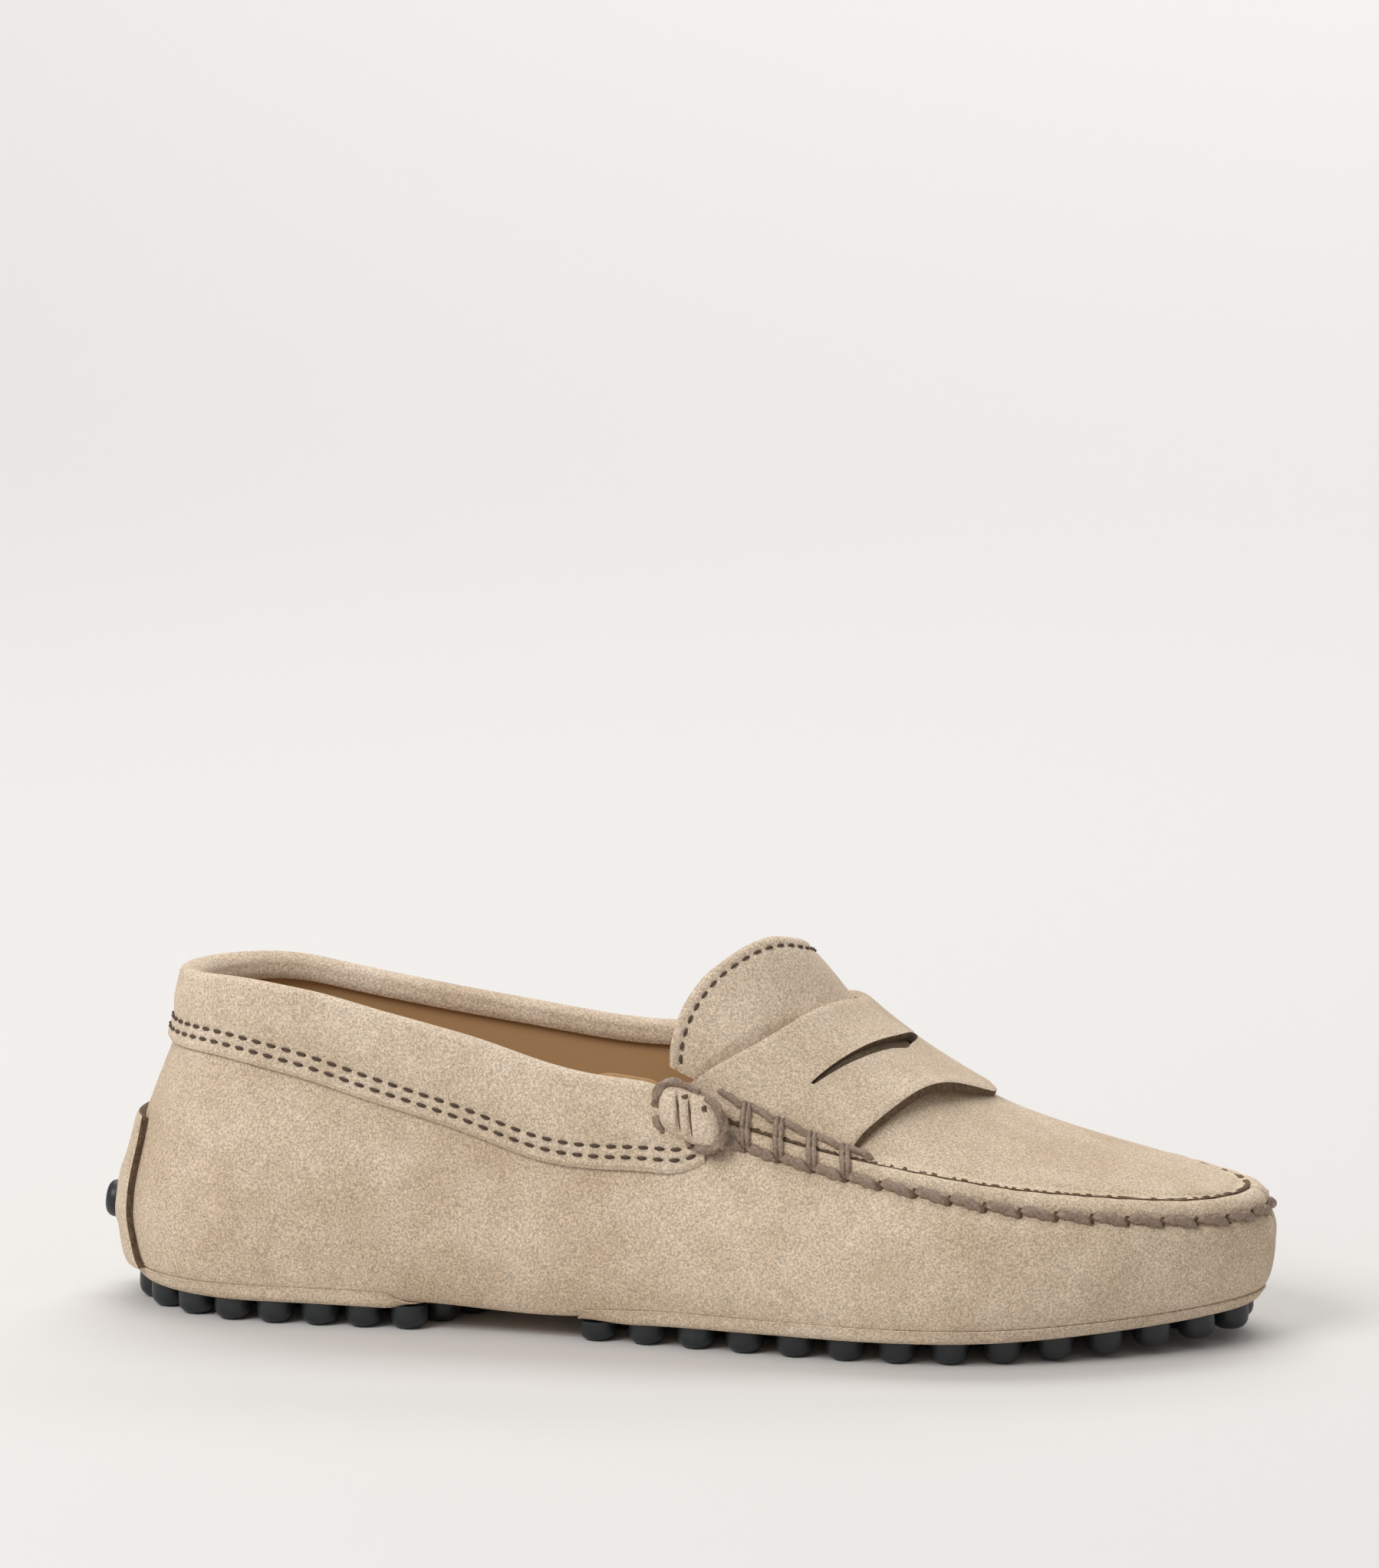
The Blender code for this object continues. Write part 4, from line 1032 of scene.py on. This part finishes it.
class MOCCASIN_OT_seam_ends(bpy.types.Operator):
    """Rolled suede at both ends of the seam, bound with loops of thread"""

    bl_idname = "moccasin.seam_ends"
    bl_label = "Seam ends"

    def execute(self, context):
        radius = sizes().thread / 2
        for side in (LATERAL, MEDIAL):
            name = "seam_end_" + SIDE_NAMES[side]
            share, turn = np.meshgrid(np.linspace(0, 1, 70), np.linspace(0, math.pi, 30), indexing="ij")
            outer = seam_end_surface(side, share, turn)
            middle = outer.mean(axis=1, keepdims=True)
            inner = outer + (middle - outer) * 0.45
            sheet_solid(name + "_roll", outer, inner, ["collar_suede"], stands_for=[name])
            heart = outer.reshape(-1, 3).mean(axis=0)
            loops = []
            for knots in LOOPS:
                loop = Table(("step", "share", "turn"), *((k, *knot) for k, knot in enumerate(knots)))
                steps = np.linspace(0, loop.knots[-1], 44)
                path = seam_end_surface(side, loop("share", steps), loop("turn", steps))
                path = path + unit(path - heart) * radius * 0.60
                ends = 0.55 + 0.45 * np.sin(np.linspace(0.0, math.pi, 44)) ** 0.4
                loops.append(cord_mesh(path, 1.15 * radius * ends, 14, 3, 520.0, 0.24))
            add_threads(name + "_thread", loops)
            # Dark lines laid along the folds of the rolled end are painted shade in the folds; two dark
            # spots are sunk into the roll as well.
            fold_shades = []
            for middle, _ in ROLL_FOLDS:
                turns = np.linspace(0.75, 2.2, 20)
                path = seam_end_surface(side, middle + 0.03 * np.sin(turns * 2), turns)
                fold_shades.append(cord_mesh(path, 0.00032 * np.sin(np.linspace(0.3, 2.84, 20)), 8))
            for at_share, at_turn in ((0.43, 2.35), (0.76, 2.1)):
                middle = seam_end_surface(side, np.array([at_share]), np.array([at_turn]))[0]
                out = unit(middle - heart)
                fold_shades.append(cord_mesh([middle - out * 0.0006, middle + out * 0.00015], 0.0007, 10))
            add_joined(name + "_slits", fold_shades, ["dyed_edge"])
        return {"FINISHED"}


def band_low(at, side):
    """Level of the collar band's lower edge."""
    drop = np.where(at <= 0.48, BAND_DROP("drop", at), FLAP_DROP("drop", at))
    top = wall(at, side, 2.0)[..., 2]
    return level_at(at, side, top + ROLL - HEEL_HEIGHT * drop)


def band_lift(at, side, level, low):
    """How far the band's face stands off the wall, padded above its stitches."""
    height = (level - low) * rise(at, side)
    limits = sizes()
    rows = [limits.row_inset + k * limits.row_gap for k in (0, 1)]
    valley = sum(0.00035 * bell(height - row, 0.0006) for row in rows)
    pad = limits.padding * smooth((height - 0.0055) / 0.004)
    edge = 0.0009 * bell(height, 0.00055)
    flap = smooth((at - BAND_END) / (FLAP_END - BAND_END))
    return GAP + CHORD + BAND + pad * (1 - flap) - valley - edge - 0.0006 * flap


class MOCCASIN_OT_collar(bpy.types.Operator):
    """Padded suede band round the collar, with two rows of machine stitches"""

    bl_idname = "moccasin.collar"
    bl_label = "Collar band"

    def execute(self, context):
        legs = np.concatenate([heel_steps(26)[:-1], np.linspace(HEEL_ROUND, FLAP_END, 120)])
        sides = []
        for side in (LATERAL, MEDIAL):
            low = band_low(legs, side)
            heights = np.concatenate([[0.0, 0.02, 0.05], np.linspace(0.09, 1.0, 34)])
            level = low[:, None] + (2.0 - low[:, None]) * heights[None]
            at = np.broadcast_to(legs[:, None], level.shape)
            face = wall(at, side, level)
            out = outward(at, side, level)
            lift = band_lift(at, side, level, low[:, None])
            leg = face + out * lift[..., None]
            top, n = wall(legs, side, 2.0), outward(legs, side, 2.0)
            fade_start = 0.478 if side == LATERAL else 0.503
            fade = 1 - smooth((legs - fade_start) / 0.02)
            roll = ROLL * fade + 0.0006 * (1 - fade)
            half = lift[:, -1]
            up = np.array([0.0, 0.0, 1.0])
            rows = [leg[:, k] for k in range(leg.shape[1])]
            for a in np.linspace(0, math.pi, 14)[1:]:
                reach = np.where(np.cos(a) > 0, half, WALL + GAP + BAND)
                rows.append(top + n * (np.cos(a) * reach)[:, None] + up * (roll * math.sin(a))[:, None])
            for down in np.linspace(0, SHOWN_FOLD, 6)[1:]:
                bulge = 0.0004 * math.sin(math.pi * down / SHOWN_FOLD)
                fold_fade = (1 - smooth((legs - fade_start) / 0.012))[:, None]
                rows.append(top - n * (WALL + GAP + BAND + bulge) - up * down * fold_fade)
            sides.append(np.stack(rows, axis=1))
        grid = both_sides(sides)
        u, v = np.gradient(grid, axis=0), np.gradient(grid, axis=1)
        normals = unit(np.cross(u, v))
        joint = len(legs) - 1
        if (normals[joint, 3] @ np.array([-1.0, 0, 0])) < 0:
            normals = -normals
        band = sheet_solid(
            "collar_band_suede", grid, grid - normals * 0.0009, ["collar_suede", "dyed_edge"],
            stands_for=["collar_band"], rim_mark=1,
        )
        stitches = []
        limits = sizes()
        for k in (0, 1):
            lines, ups = [], []
            for side in (LATERAL, MEDIAL):
                forward = np.linspace(HEEL_ROUND, FLAP_END - 0.006, 200)
                ats = np.concatenate([heel_steps(40)[:-1], forward])
                low = band_low(ats, side)
                level = low + (limits.row_inset + k * limits.row_gap) / rise(ats, side)
                out = outward(ats, side, level)
                lift = band_lift(ats, side, level, low) + 0.0002
                lines.append(wall(ats, side, level) + out * lift[:, None])
                ups.append(out)
            stitches += machine_row(both_sides(lines), both_sides(ups), limits.machine_pitch, 0.00042)
        add_threads("collar_stitches", stitches, "brown_machine_thread")
        # Only the outer side's binding stands up over the collar.
        start, end = BINDING
        ats = np.linspace(start, end, 40)
        top, n = wall(ats, LATERAL, 2.0), outward(ats, LATERAL, 2.0)
        base = top - n * (WALL + GAP + BAND + 0.0001)
        shown = smooth((ats - start) / 0.045)
        crest = -0.0004 + (ROLL * 0.5 + 0.0017) * shown * (1 - 0.5 * smooth((ats - end + 0.012) / 0.012))
        lower = base + spot(0, 0, -0.0006 - 0.0016 * shown)
        grid = np.stack([lower, base, base + spot(0, 0, crest)], axis=1)
        thin = (0.0002 + 0.0004 * shown)[:, None, None]
        back = grid - n[:, None] * thin
        sheet_solid("collar_binding_lateral", grid, back, ["lining_leather"], slot="lining_leather")
        path = base + spot(0, 0, crest - 0.0008) + n * 0.0001
        white = machine_row(path, n, 0.0037, 0.0003)
        add_threads("binding_stitches", white, "white_lining_thread")
        return {"FINISHED"}


def tongue_rim(place):
    return TONGUE_EDGES("rear", np.abs(place))


def tongue_stand(place):
    """How far the tongue's free edge stands up off the line of the instep, more on the lateral side."""
    return 0.0052 * bell(place + 0.33, 0.36) - 0.0028 * smooth((place + 0.05) / 0.50)


class MOCCASIN_OT_tongue(bpy.types.Operator):
    """Suede tongue behind the strap, stitched in from its edge"""

    bl_idname = "moccasin.tongue"
    bl_label = "Tongue"

    def execute(self, context):
        share = np.sin(np.linspace(-math.pi / 2, math.pi / 2, 81))
        places = TONGUE_REACH * share
        rear, front, plug = tongue_rim(places), TONGUE_EDGES("front", np.abs(places)), plug_rear(places)
        rows = np.linspace(0, 1, 34) ** 1.3
        body = rear[None] + (plug - TONGUE_DIP - rear)[None] * rows[:, None]
        sunk = np.stack([plug - TONGUE_DIP * 0.33, front])
        at = np.concatenate([body, sunk])
        sink = np.concatenate([np.zeros(body.shape), np.ones(sunk.shape)])
        across = np.broadcast_to(across_at(places)[None], at.shape)
        lift = -(GAP + (2 * CHORD + WALL) * sink)
        edge = (at - rear[None]) * LENGTH
        lift = lift + tongue_stand(places)[None] * (1 - smooth(edge / 0.024))
        side_edge = (TONGUE_REACH - np.abs(np.broadcast_to(places[None], at.shape))) * 0.030
        from_edge = np.minimum(edge, side_edge)
        lift = lift - 0.00045 * bell(from_edge, 0.0005)
        lift = lift - 0.00030 * bell(edge - sizes().tongue_inset, 0.0006) * (sink < 0.5)
        outer = plug_point(at, across, lift)
        inner = plug_point(at, across, lift - TONGUE)
        skirts = []
        for grid in (outer, inner):
            left, right = grid[:, :1], grid[:, -1:]
            left = [left + spot(0, -out, -down) for down, out in TONGUE_SIDES]
            right = [right + spot(0, out, -down) for down, out in TONGUE_SIDES]
            skirts.append(np.concatenate(left[::-1] + [grid] + right, axis=1))
        skirts[1][:, :3, 1] += TONGUE * 0.8
        skirts[1][:, -3:, 1] -= TONGUE * 0.8
        sheet_solid(
            "tongue_suede", *skirts, ["strap_suede", "lining_leather"], inner_mark=1, stands_for=["tongue"]
        )
        places = np.linspace(-0.99 * TONGUE_REACH, 0.99 * TONGUE_REACH, 300)
        rear = tongue_rim(places) + sizes().tongue_inset / LENGTH
        stand = tongue_stand(places) * (1 - smooth(sizes().tongue_inset / 0.024))
        path = plug_point(rear, across_at(places), stand - GAP - 0.0001)
        ups = crown_normal(rear, across_at(places))
        down = np.linspace(0.0038, 0.0006, 12)
        left, right = path[:1] + spot(0, -0.0007, -down), path[-1:] + spot(0, 0.0007, -down[::-1])
        path = np.concatenate([left, path, right])
        sideways = np.zeros((12, 1)) + [[0.0, 1.0, 0.0]]
        ups = np.concatenate([-sideways, ups, sideways])
        stitches = machine_row(path, ups, sizes().tongue_pitch, 0.00036)
        add_threads("tongue_stitches", stitches, "brown_machine_thread")
        return {"FINISHED"}


class MOCCASIN_OT_strap(bpy.types.Operator):
    """Penny strap arched over the instep, with its slot and dyed cut edges"""

    bl_idname = "moccasin.strap"
    bl_label = "Penny strap"

    def execute(self, context):
        columns = 141
        places = np.linspace(-STRAP_REACH, STRAP_REACH, columns)
        rear, front = STRAP_EDGES("rear", places), STRAP_EDGES("front", places)
        slot_rear = STRAP_EDGES("slot", places)
        taper = np.clip(1 - (places / SLOT_REACH) ** 2, 0.0, 1.0)
        notch = bell(places + 0.17, 0.07)
        width = 0.0004 + 0.0019 * taper**0.6 * (1 - 0.65 * smooth((places + 0.30) / 0.60)) + 0.0007 * notch
        slot_front = slot_rear + width / LENGTH
        back = rear[None] + (slot_rear - rear)[None] * np.linspace(0, 1, 18)[:, None]
        fore = slot_front[None] + (front - slot_front)[None] * np.linspace(0, 1, 18)[:, None]
        at = np.concatenate([back, fore])
        open_columns = np.maximum(np.abs(places[:-1]), np.abs(places[1:])) <= SLOT_REACH
        holes = {(17, int(c)) for c in np.flatnonzero(open_columns)}
        across = np.broadcast_to(across_at(places)[None], at.shape)
        place = np.broadcast_to(places[None], at.shape)
        ahead = np.clip((at - rear[None]) / (front - rear)[None], 0.0, 1.0)
        near_slot = np.concatenate([np.linspace(0, 1, 18) ** 2, np.zeros(18)])[:, None]
        lift = GAP + 0.0012 * near_slot * (taper**0.7 * (1 - 0.8 * smooth((places + 0.10) / 0.30)))[None]
        lift = lift + 0.0021 * bell(place + 0.42, 0.30) * ahead**3
        from_side = np.maximum(0.0, STRAP_REACH - np.abs(place)) * 0.032
        skived = 1 - 0.75 * bell(from_side, 0.0016)
        crest = 1 - 0.35 * bell(place - 0.15, 0.25) * ahead**6
        round_off = bell((at - rear[None]) * LENGTH, 0.0004) + bell((front[None] - at) * LENGTH, 0.0004)
        thick = STRAP * skived * crest
        outer = plug_point(at, across, lift * skived + thick - 0.0003 * round_off)
        # The front edge is cut at a slant, so that it shows from above.
        under = np.array(at)
        under[-1] += 0.0010 * (1 - 0.9 * smooth((places + 0.30) / 0.35)) / LENGTH
        inner = plug_point(under, across, lift * skived - 0.0004 * (1 - skived))
        sheet_solid(
            "penny_strap", outer, inner, ["strap_suede", "dyed_edge"], holes=holes, rim_mark=1, plain_row=0,
            stands_for=["saddle_strap"],
        )
        return {"FINISHED"}


class MOCCASIN_OT_insole(bpy.types.Operator):
    """Smooth leather sock inside the shoe"""

    bl_idname = "moccasin.insole"
    bl_label = "Insole"

    def execute(self, context):
        ats = stations(16, 60, 26)
        levels = np.linspace(-1.0, -0.10, 14)
        grids = []
        for side in (LATERAL, MEDIAL):
            at, level = np.meshgrid(ats, levels, indexing="ij")
            grids.append(wall(at, side, level) + spot(0, 0, WALL + GAP))
        base = both_sides(grids, 1)
        crowned = INSOLE - 0.0006 * np.abs(np.linspace(-1, 1, base.shape[1])) ** 6
        top = base + spot(0, 0, crowned)[None]
        facts = {"slot": "lining_leather", "stands_for": ["insole"]}
        sheet_solid("insole_sock", top, base, ["lining_leather"], **facts)
        return {"FINISHED"}


def pad_point(at, across, depth):
    """A point under the upper. across runs from -1 to 1 between the pads' edges."""
    level = np.abs(across) * (1 + PAD_LEVEL) - 1
    lateral, medial = wall(at, LATERAL, level), wall(at, MEDIAL, level)
    down = np.where(level > 0, 1.0, 0.0)[..., None]
    straight = np.array([0.0, 0.0, -1.0])
    out_l = outward(at, LATERAL, level) * down + straight * (1 - down)
    out_m = outward(at, MEDIAL, level) * down + straight * (1 - down)
    near = (across < 0)[..., None]
    return np.where(near, lateral, medial) + np.where(near, out_l, out_m) * np.asarray(depth)[..., None]


def pad_end(span, across):
    """(start, end) of a pad as shares of the length, with its cut end's corners rounded off."""
    start, end = span
    corner = PAD_CORNERS[int(start > 0.0)] * np.asarray(across) ** 2
    return (start + corner * (start != 0.0)), (end - corner * (end != 1.0))


# A stud's half-breadths from its root to its tip, as shares of its height and radius
STUD_PROFILE = (
    (0.0, 0.97),
    (0.35, 1.0),
    (0.55, 0.99),
    (0.70, 0.945),
    (0.82, 0.86),
    (0.91, 0.74),
    (0.97, 0.58),
    (1.0, 0.36),
)


def dome(centre, foot, radius, sides=20):
    """(points, faces) of a rubber stud from its root to a softly rounded tip."""
    axis = unit(foot - centre)
    height = float(np.linalg.norm(foot - centre))
    turn = Vector((0, 0, 1)).rotation_difference(Vector(axis)).to_matrix()
    points, faces = [], []
    for share, wide in STUD_PROFILE:
        for a in np.linspace(0, 2 * math.pi, sides, endpoint=False):
            offset = np.array(turn @ Vector((radius * wide * math.cos(a), radius * wide * math.sin(a), 0)))
            points.append(centre + axis * height * share + offset)
    count = len(points)
    faces = cells(len(STUD_PROFILE), sides, closed=True)
    faces += [tuple(range(sides)), tuple(range(count - sides, count))]
    return np.array(points), faces


def inside(point, outline):
    """Whether a point lies within a closed outline, by counting crossings."""
    a, b = outline, np.roll(outline, -1, axis=0)
    spans = (a[:, 1] > point[1]) != (b[:, 1] > point[1])
    rise_y = np.where(b[:, 1] == a[:, 1], 1.0, b[:, 1] - a[:, 1])
    cross = a[:, 0] + (point[1] - a[:, 1]) / rise_y * (b[:, 0] - a[:, 0])
    return int((spans & (cross > point[0])).sum()) % 2 == 1


def stud_places(span, pitch):
    """(x, y) of a pad's studs: one row round its edge, and staggered rows inside."""
    reach = (1 + STUD_LEVEL) / (1 + PAD_LEVEL)
    heel = span[0] == 0.0
    inset = STUD_INSET / LENGTH

    def edge_points(across, share):
        start, end = pad_end(span, across)
        start, end = (start, end - inset) if heel else (start + inset, end)
        place = start + (end - start) * share
        return pad_point(place, across, np.full(np.shape(share), GAP + PAD))[:, :2]

    shares = np.linspace(0, 1, 61)[:: -1 if heel else 1]
    tips = np.linspace(reach, -reach, 21)[1:]
    outline = np.concatenate([
        edge_points(np.full(61, -reach), shares),
        edge_points(np.full(61, reach), shares[::-1]),
        edge_points(tips, np.full(20, 1.0 if heel else 0.0)),
    ])
    runs = run_lengths(outline)
    count = max(1, round(runs[-1] / pitch))
    wanted = np.linspace(0, runs[-1], count + 1)[:-1]
    places = list(np.stack([np.interp(wanted, runs, outline[:, k]) for k in (0, 1)], axis=1))
    low, high = outline[:, 0].min(), outline[:, 0].max()
    rows = int(np.abs(outline[:, 1]).max() / (ROW_PITCH * pitch)) + 1
    for row in range(-rows, rows + 1):
        for k in range(int((high - low) / pitch) + 2):
            point = np.array([low + (k + 0.5 * (row % 2)) * pitch, row * pitch * ROW_PITCH])
            clear = all(np.linalg.norm(point - p) > CROWDING * pitch for p in places)
            if clear and inside(point, outline):
                places.append(point)
    return places


class MOCCASIN_OT_soles(bpy.types.Operator):
    """Suede-faced pads under heel and forefoot, with rounded rubber studs"""

    bl_idname = "moccasin.soles"
    bl_label = "Soles and studs"

    def execute(self, context):
        for name, span, pitch in (("heel", HEEL_PAD, HEEL_PITCH), ("forefoot", FORE_PAD, FORE_PITCH)):
            start, end = span
            if start == 0.0:
                ats = np.concatenate([heel_steps(24)[:-1], np.linspace(HEEL_ROUND, end, 30)])
            else:
                ats = np.concatenate([np.linspace(start, 1 - TOE_ROUND, 50)[:-1], toe_steps(40)])
            acrosses = np.sin(np.linspace(-math.pi / 2, math.pi / 2, 61))
            at, across = np.meshgrid(ats, acrosses, indexing="ij")
            low, high = pad_end(span, across)
            place = low + (high - low) * (at - start) / (end - start)
            round_edge = 1 - smooth((np.abs(across) - 0.80) / 0.20)
            ends = smooth((at - start) / 0.055) if start > 0.0 else smooth((end - at) / 0.030)
            depth = GAP + (PAD - GAP) * (0.16 + 0.84 * round_edge * ends)
            under = pad_point(place, across, depth)
            above = pad_point(place, across, np.full(at.shape, GAP * 0.5))
            sheet_solid(name + "_pad", under, above, ["body_suede"], stands_for=[name + "_sole"])
            studs = []
            for x, y in stud_places(span, pitch):
                share = (x - along(0.0, 0.0)) / (along(1.0, 0.0) - along(0.0, 0.0))
                lift = TOE_SPRING * float(SECTIONS("lift", np.clip(share, 0.0, 1.0)))
                root = np.array([x, y, float(bottom(share)) - GAP - PAD * 0.5])
                studs.append(dome(root, np.array([x, y, max(0.0, lift)]), STUD_RADIUS))
            add_joined(name + "_studs", studs, ["moulded_rubber"], slot="rubber", sharp=60)
        return {"FINISHED"}


def tab_point(across, share, lift):
    """A point on the back of the heel, across and up the tab."""
    low, high = TAB_LEVELS
    level = low + (high - low) * share
    half = TAB_HALF[0] + (TAB_HALF[1] - TAB_HALF[0]) * share**3
    reach = np.abs(across) * half
    found = []
    for side in (LATERAL, MEDIAL):
        breadth = np.abs(wall(HEEL_ROUND, side, level)[..., 1])
        at = HEEL_ROUND * (1 - np.sqrt(1 - np.minimum(1.0, reach / breadth) ** 2))
        at = np.where(at < 1e-4, 0.0, at)
        found.append(wall(at, side, level) + outward(at, side, level) * np.asarray(lift)[..., None])
    return np.where((across < 0)[..., None], found[0], found[1])


class MOCCASIN_OT_heel_tab(bpy.types.Operator):
    """Suede tab up the back of the heel, with rubber studs through it"""

    bl_idname = "moccasin.heel_tab"
    bl_label = "Heel tab"

    def execute(self, context):
        share, across = np.meshgrid(np.linspace(0, 1, 50), np.linspace(-1, 1, 41), indexing="ij")
        clear = GAP + 0.6 * TAB_CORE
        edge = np.minimum((1 - np.abs(across)) * TAB_HALF[0], np.minimum(share, 1 - share) * TAB_RISE)
        lift = clear + TAB_COVER - 0.0004 * bell(edge, 0.0005)
        for stud_across, stud_share in TAB_STUDS:
            away = np.hypot((across - stud_across) * TAB_HALF[0], (share - stud_share) * TAB_RISE)
            lift = lift + 0.0004 * bell(away - STUD_RADIUS - 0.0012, 0.0014)
        cover = tab_point(across, share, lift)
        under = tab_point(across, share, np.full(share.shape, clear))
        facts = {"rim_mark": 1, "stands_for": ["heel_tab"]}
        sheet_solid("heel_tab_suede", cover, under, ["collar_suede", "dyed_edge"], **facts)
        rubber, back = [
            tab_point(across * 0.99, 0.005 + share * 0.99, np.full(share.shape, lift))
            for lift in (clear + 0.0002, GAP * 0.5)
        ]
        facts = {"slot": "rubber", "stands_for": ["heel_tab_rubber"]}
        sheet_solid("heel_tab_core", rubber, back, ["dyed_edge"], **facts)
        studs = []
        for place in TAB_STUDS:
            a, s = np.array(place)[:, None]
            lifts = (GAP + TAB_CORE * 0.5, clear + TAB_COVER + TAB_STUD)
            root, foot = [tab_point(a, s, np.array([lift]))[0] for lift in lifts]
            studs.append(dome(root, foot, STUD_RADIUS))
        add_joined("heel_tab_studs", studs, ["moulded_rubber"], slot="rubber", sharp=60)
        return {"FINISHED"}


# The camera of the photograph: azimuth 12 degrees, elevation 11.5, 1.6 m from the shoe's middle
CAMERA_PLACE = (0.3300, -1.5336, 0.3540)
CAMERA_TURN = (81.26, 0.0, 12.03)
CAMERA_LENS = 174.7


class MOCCASIN_OT_stage(bpy.types.Operator):
    """Pale floor and backdrop, soft studio light and the camera"""

    bl_idname = "moccasin.stage"
    bl_label = "Studio"

    def execute(self, context):
        start, bend = 1.6, 3.0
        profile = [(-12.0, 0.0), (start, 0.0)]
        for a in np.linspace(0, math.pi / 2, 24)[1:]:
            profile.append((start + bend * math.sin(a), bend - bend * math.cos(a)))
        profile.append((start + bend, 6.0))
        points = [(x, y, z) for y, z in profile for x in (-9.0, 9.0)]
        faces = [(2 * i, 2 * i + 1, 2 * i + 3, 2 * i + 2) for i in range(len(profile) - 1)]
        mesh = bpy.data.meshes.new("backdrop")
        mesh.from_pydata(points, [], faces)
        mesh.shade_smooth()
        made, tree, shader, place = start_material("seamless_paper")
        tooth = bump(tree, noise(tree, place, 400.0, 2.0), 0.05, 0.0002)
        tree.links.new(tooth, shader.inputs["Normal"])
        shader.inputs["Base Color"].default_value = (*colours().paper, 1)
        shader.inputs["Roughness"].default_value = 0.9
        shader.inputs["Specular IOR Level"].default_value = 0.1
        mesh.materials.append(made)
        backdrop = bpy.data.objects.new("backdrop", mesh)
        context.scene.collection.objects.link(backdrop)
        world = bpy.data.worlds.new("studio")
        world.use_nodes = True
        sky = world.node_tree.nodes["Background"]
        sky.inputs["Color"].default_value = (1.0, 0.985, 0.965, 1)
        sky.inputs["Strength"].default_value = WORLD_LIGHT
        context.scene.world = world
        context.scene.view_settings.view_transform = "Standard"
        for name, place, aim, size, power in LIGHTS:
            light = bpy.data.lights.new(name, "AREA")
            light.shape = "RECTANGLE"
            light.size, light.size_y = size
            light.energy = power
            lamp = bpy.data.objects.new(name, light)
            lamp.location = place
            lamp.rotation_euler = (Vector(aim) - Vector(place)).to_track_quat("-Z", "Y").to_euler()
            context.scene.collection.objects.link(lamp)
        camera = bpy.data.cameras.new("camera")
        camera.lens = CAMERA_LENS
        camera.clip_start = 0.05
        camera.clip_end = 20.0
        view = bpy.data.objects.new("camera", camera)
        view.location = CAMERA_PLACE
        view.rotation_euler = [math.radians(a) for a in CAMERA_TURN]
        context.scene.collection.objects.link(view)
        context.scene.camera = view
        return {"FINISHED"}


WORLD_LIGHT = 0.42
# Name, place, aim, size and power of each softbox
LIGHTS = (
    ("key_softbox", (-0.9, -1.3, 1.4), (0.0, 0.0, 0.03), (1.0, 1.0), 23.0),
    ("top_softbox", (-0.1, 0.70, 1.7), (0.0, 0.0, 0.0), (1.4, 0.7), 13.5),
    ("backdrop_softbox", (0.0, 2.9, 2.2), (0.0, 3.0, 0.0), (3.6, 1.6), 54.0),
)

PIECES = (
    MOCCASIN_OT_stage,
    MOCCASIN_OT_body,
    MOCCASIN_OT_apron,
    MOCCASIN_OT_hand_seam,
    MOCCASIN_OT_seam_ends,
    MOCCASIN_OT_collar,
    MOCCASIN_OT_tongue,
    MOCCASIN_OT_strap,
    MOCCASIN_OT_insole,
    MOCCASIN_OT_soles,
    MOCCASIN_OT_heel_tab,
)


class MOCCASIN_PT_panel(bpy.types.Panel):
    """Sidebar list of the shoe's pieces, colours and sizes"""

    bl_label = "Moccasin"
    bl_idname = "MOCCASIN_PT_panel"
    bl_space_type = "VIEW_3D"
    bl_region_type = "UI"
    bl_category = "Moccasin"

    def draw(self, context):
        for group in (colours(), sizes()):
            for name in group.__annotations__:
                self.layout.prop(group, name)
        for piece in PIECES:
            self.layout.operator(piece.bl_idname)


CLASSES = (MoccasinColours, MoccasinSizes, *PIECES, MOCCASIN_PT_panel)


def register():
    for each in CLASSES:
        bpy.utils.register_class(each)
    bpy.types.Scene.moccasin_colours = PointerProperty(type=MoccasinColours)
    bpy.types.Scene.moccasin_sizes = PointerProperty(type=MoccasinSizes)


def unregister():
    del bpy.types.Scene.moccasin_sizes
    del bpy.types.Scene.moccasin_colours
    for each in reversed(CLASSES):
        bpy.utils.unregister_class(each)


def main():
    register()
    for piece in PIECES:
        group, name = piece.bl_idname.split(".")
        getattr(getattr(bpy.ops, group), name)()


if __name__ == "__main__":
    main()
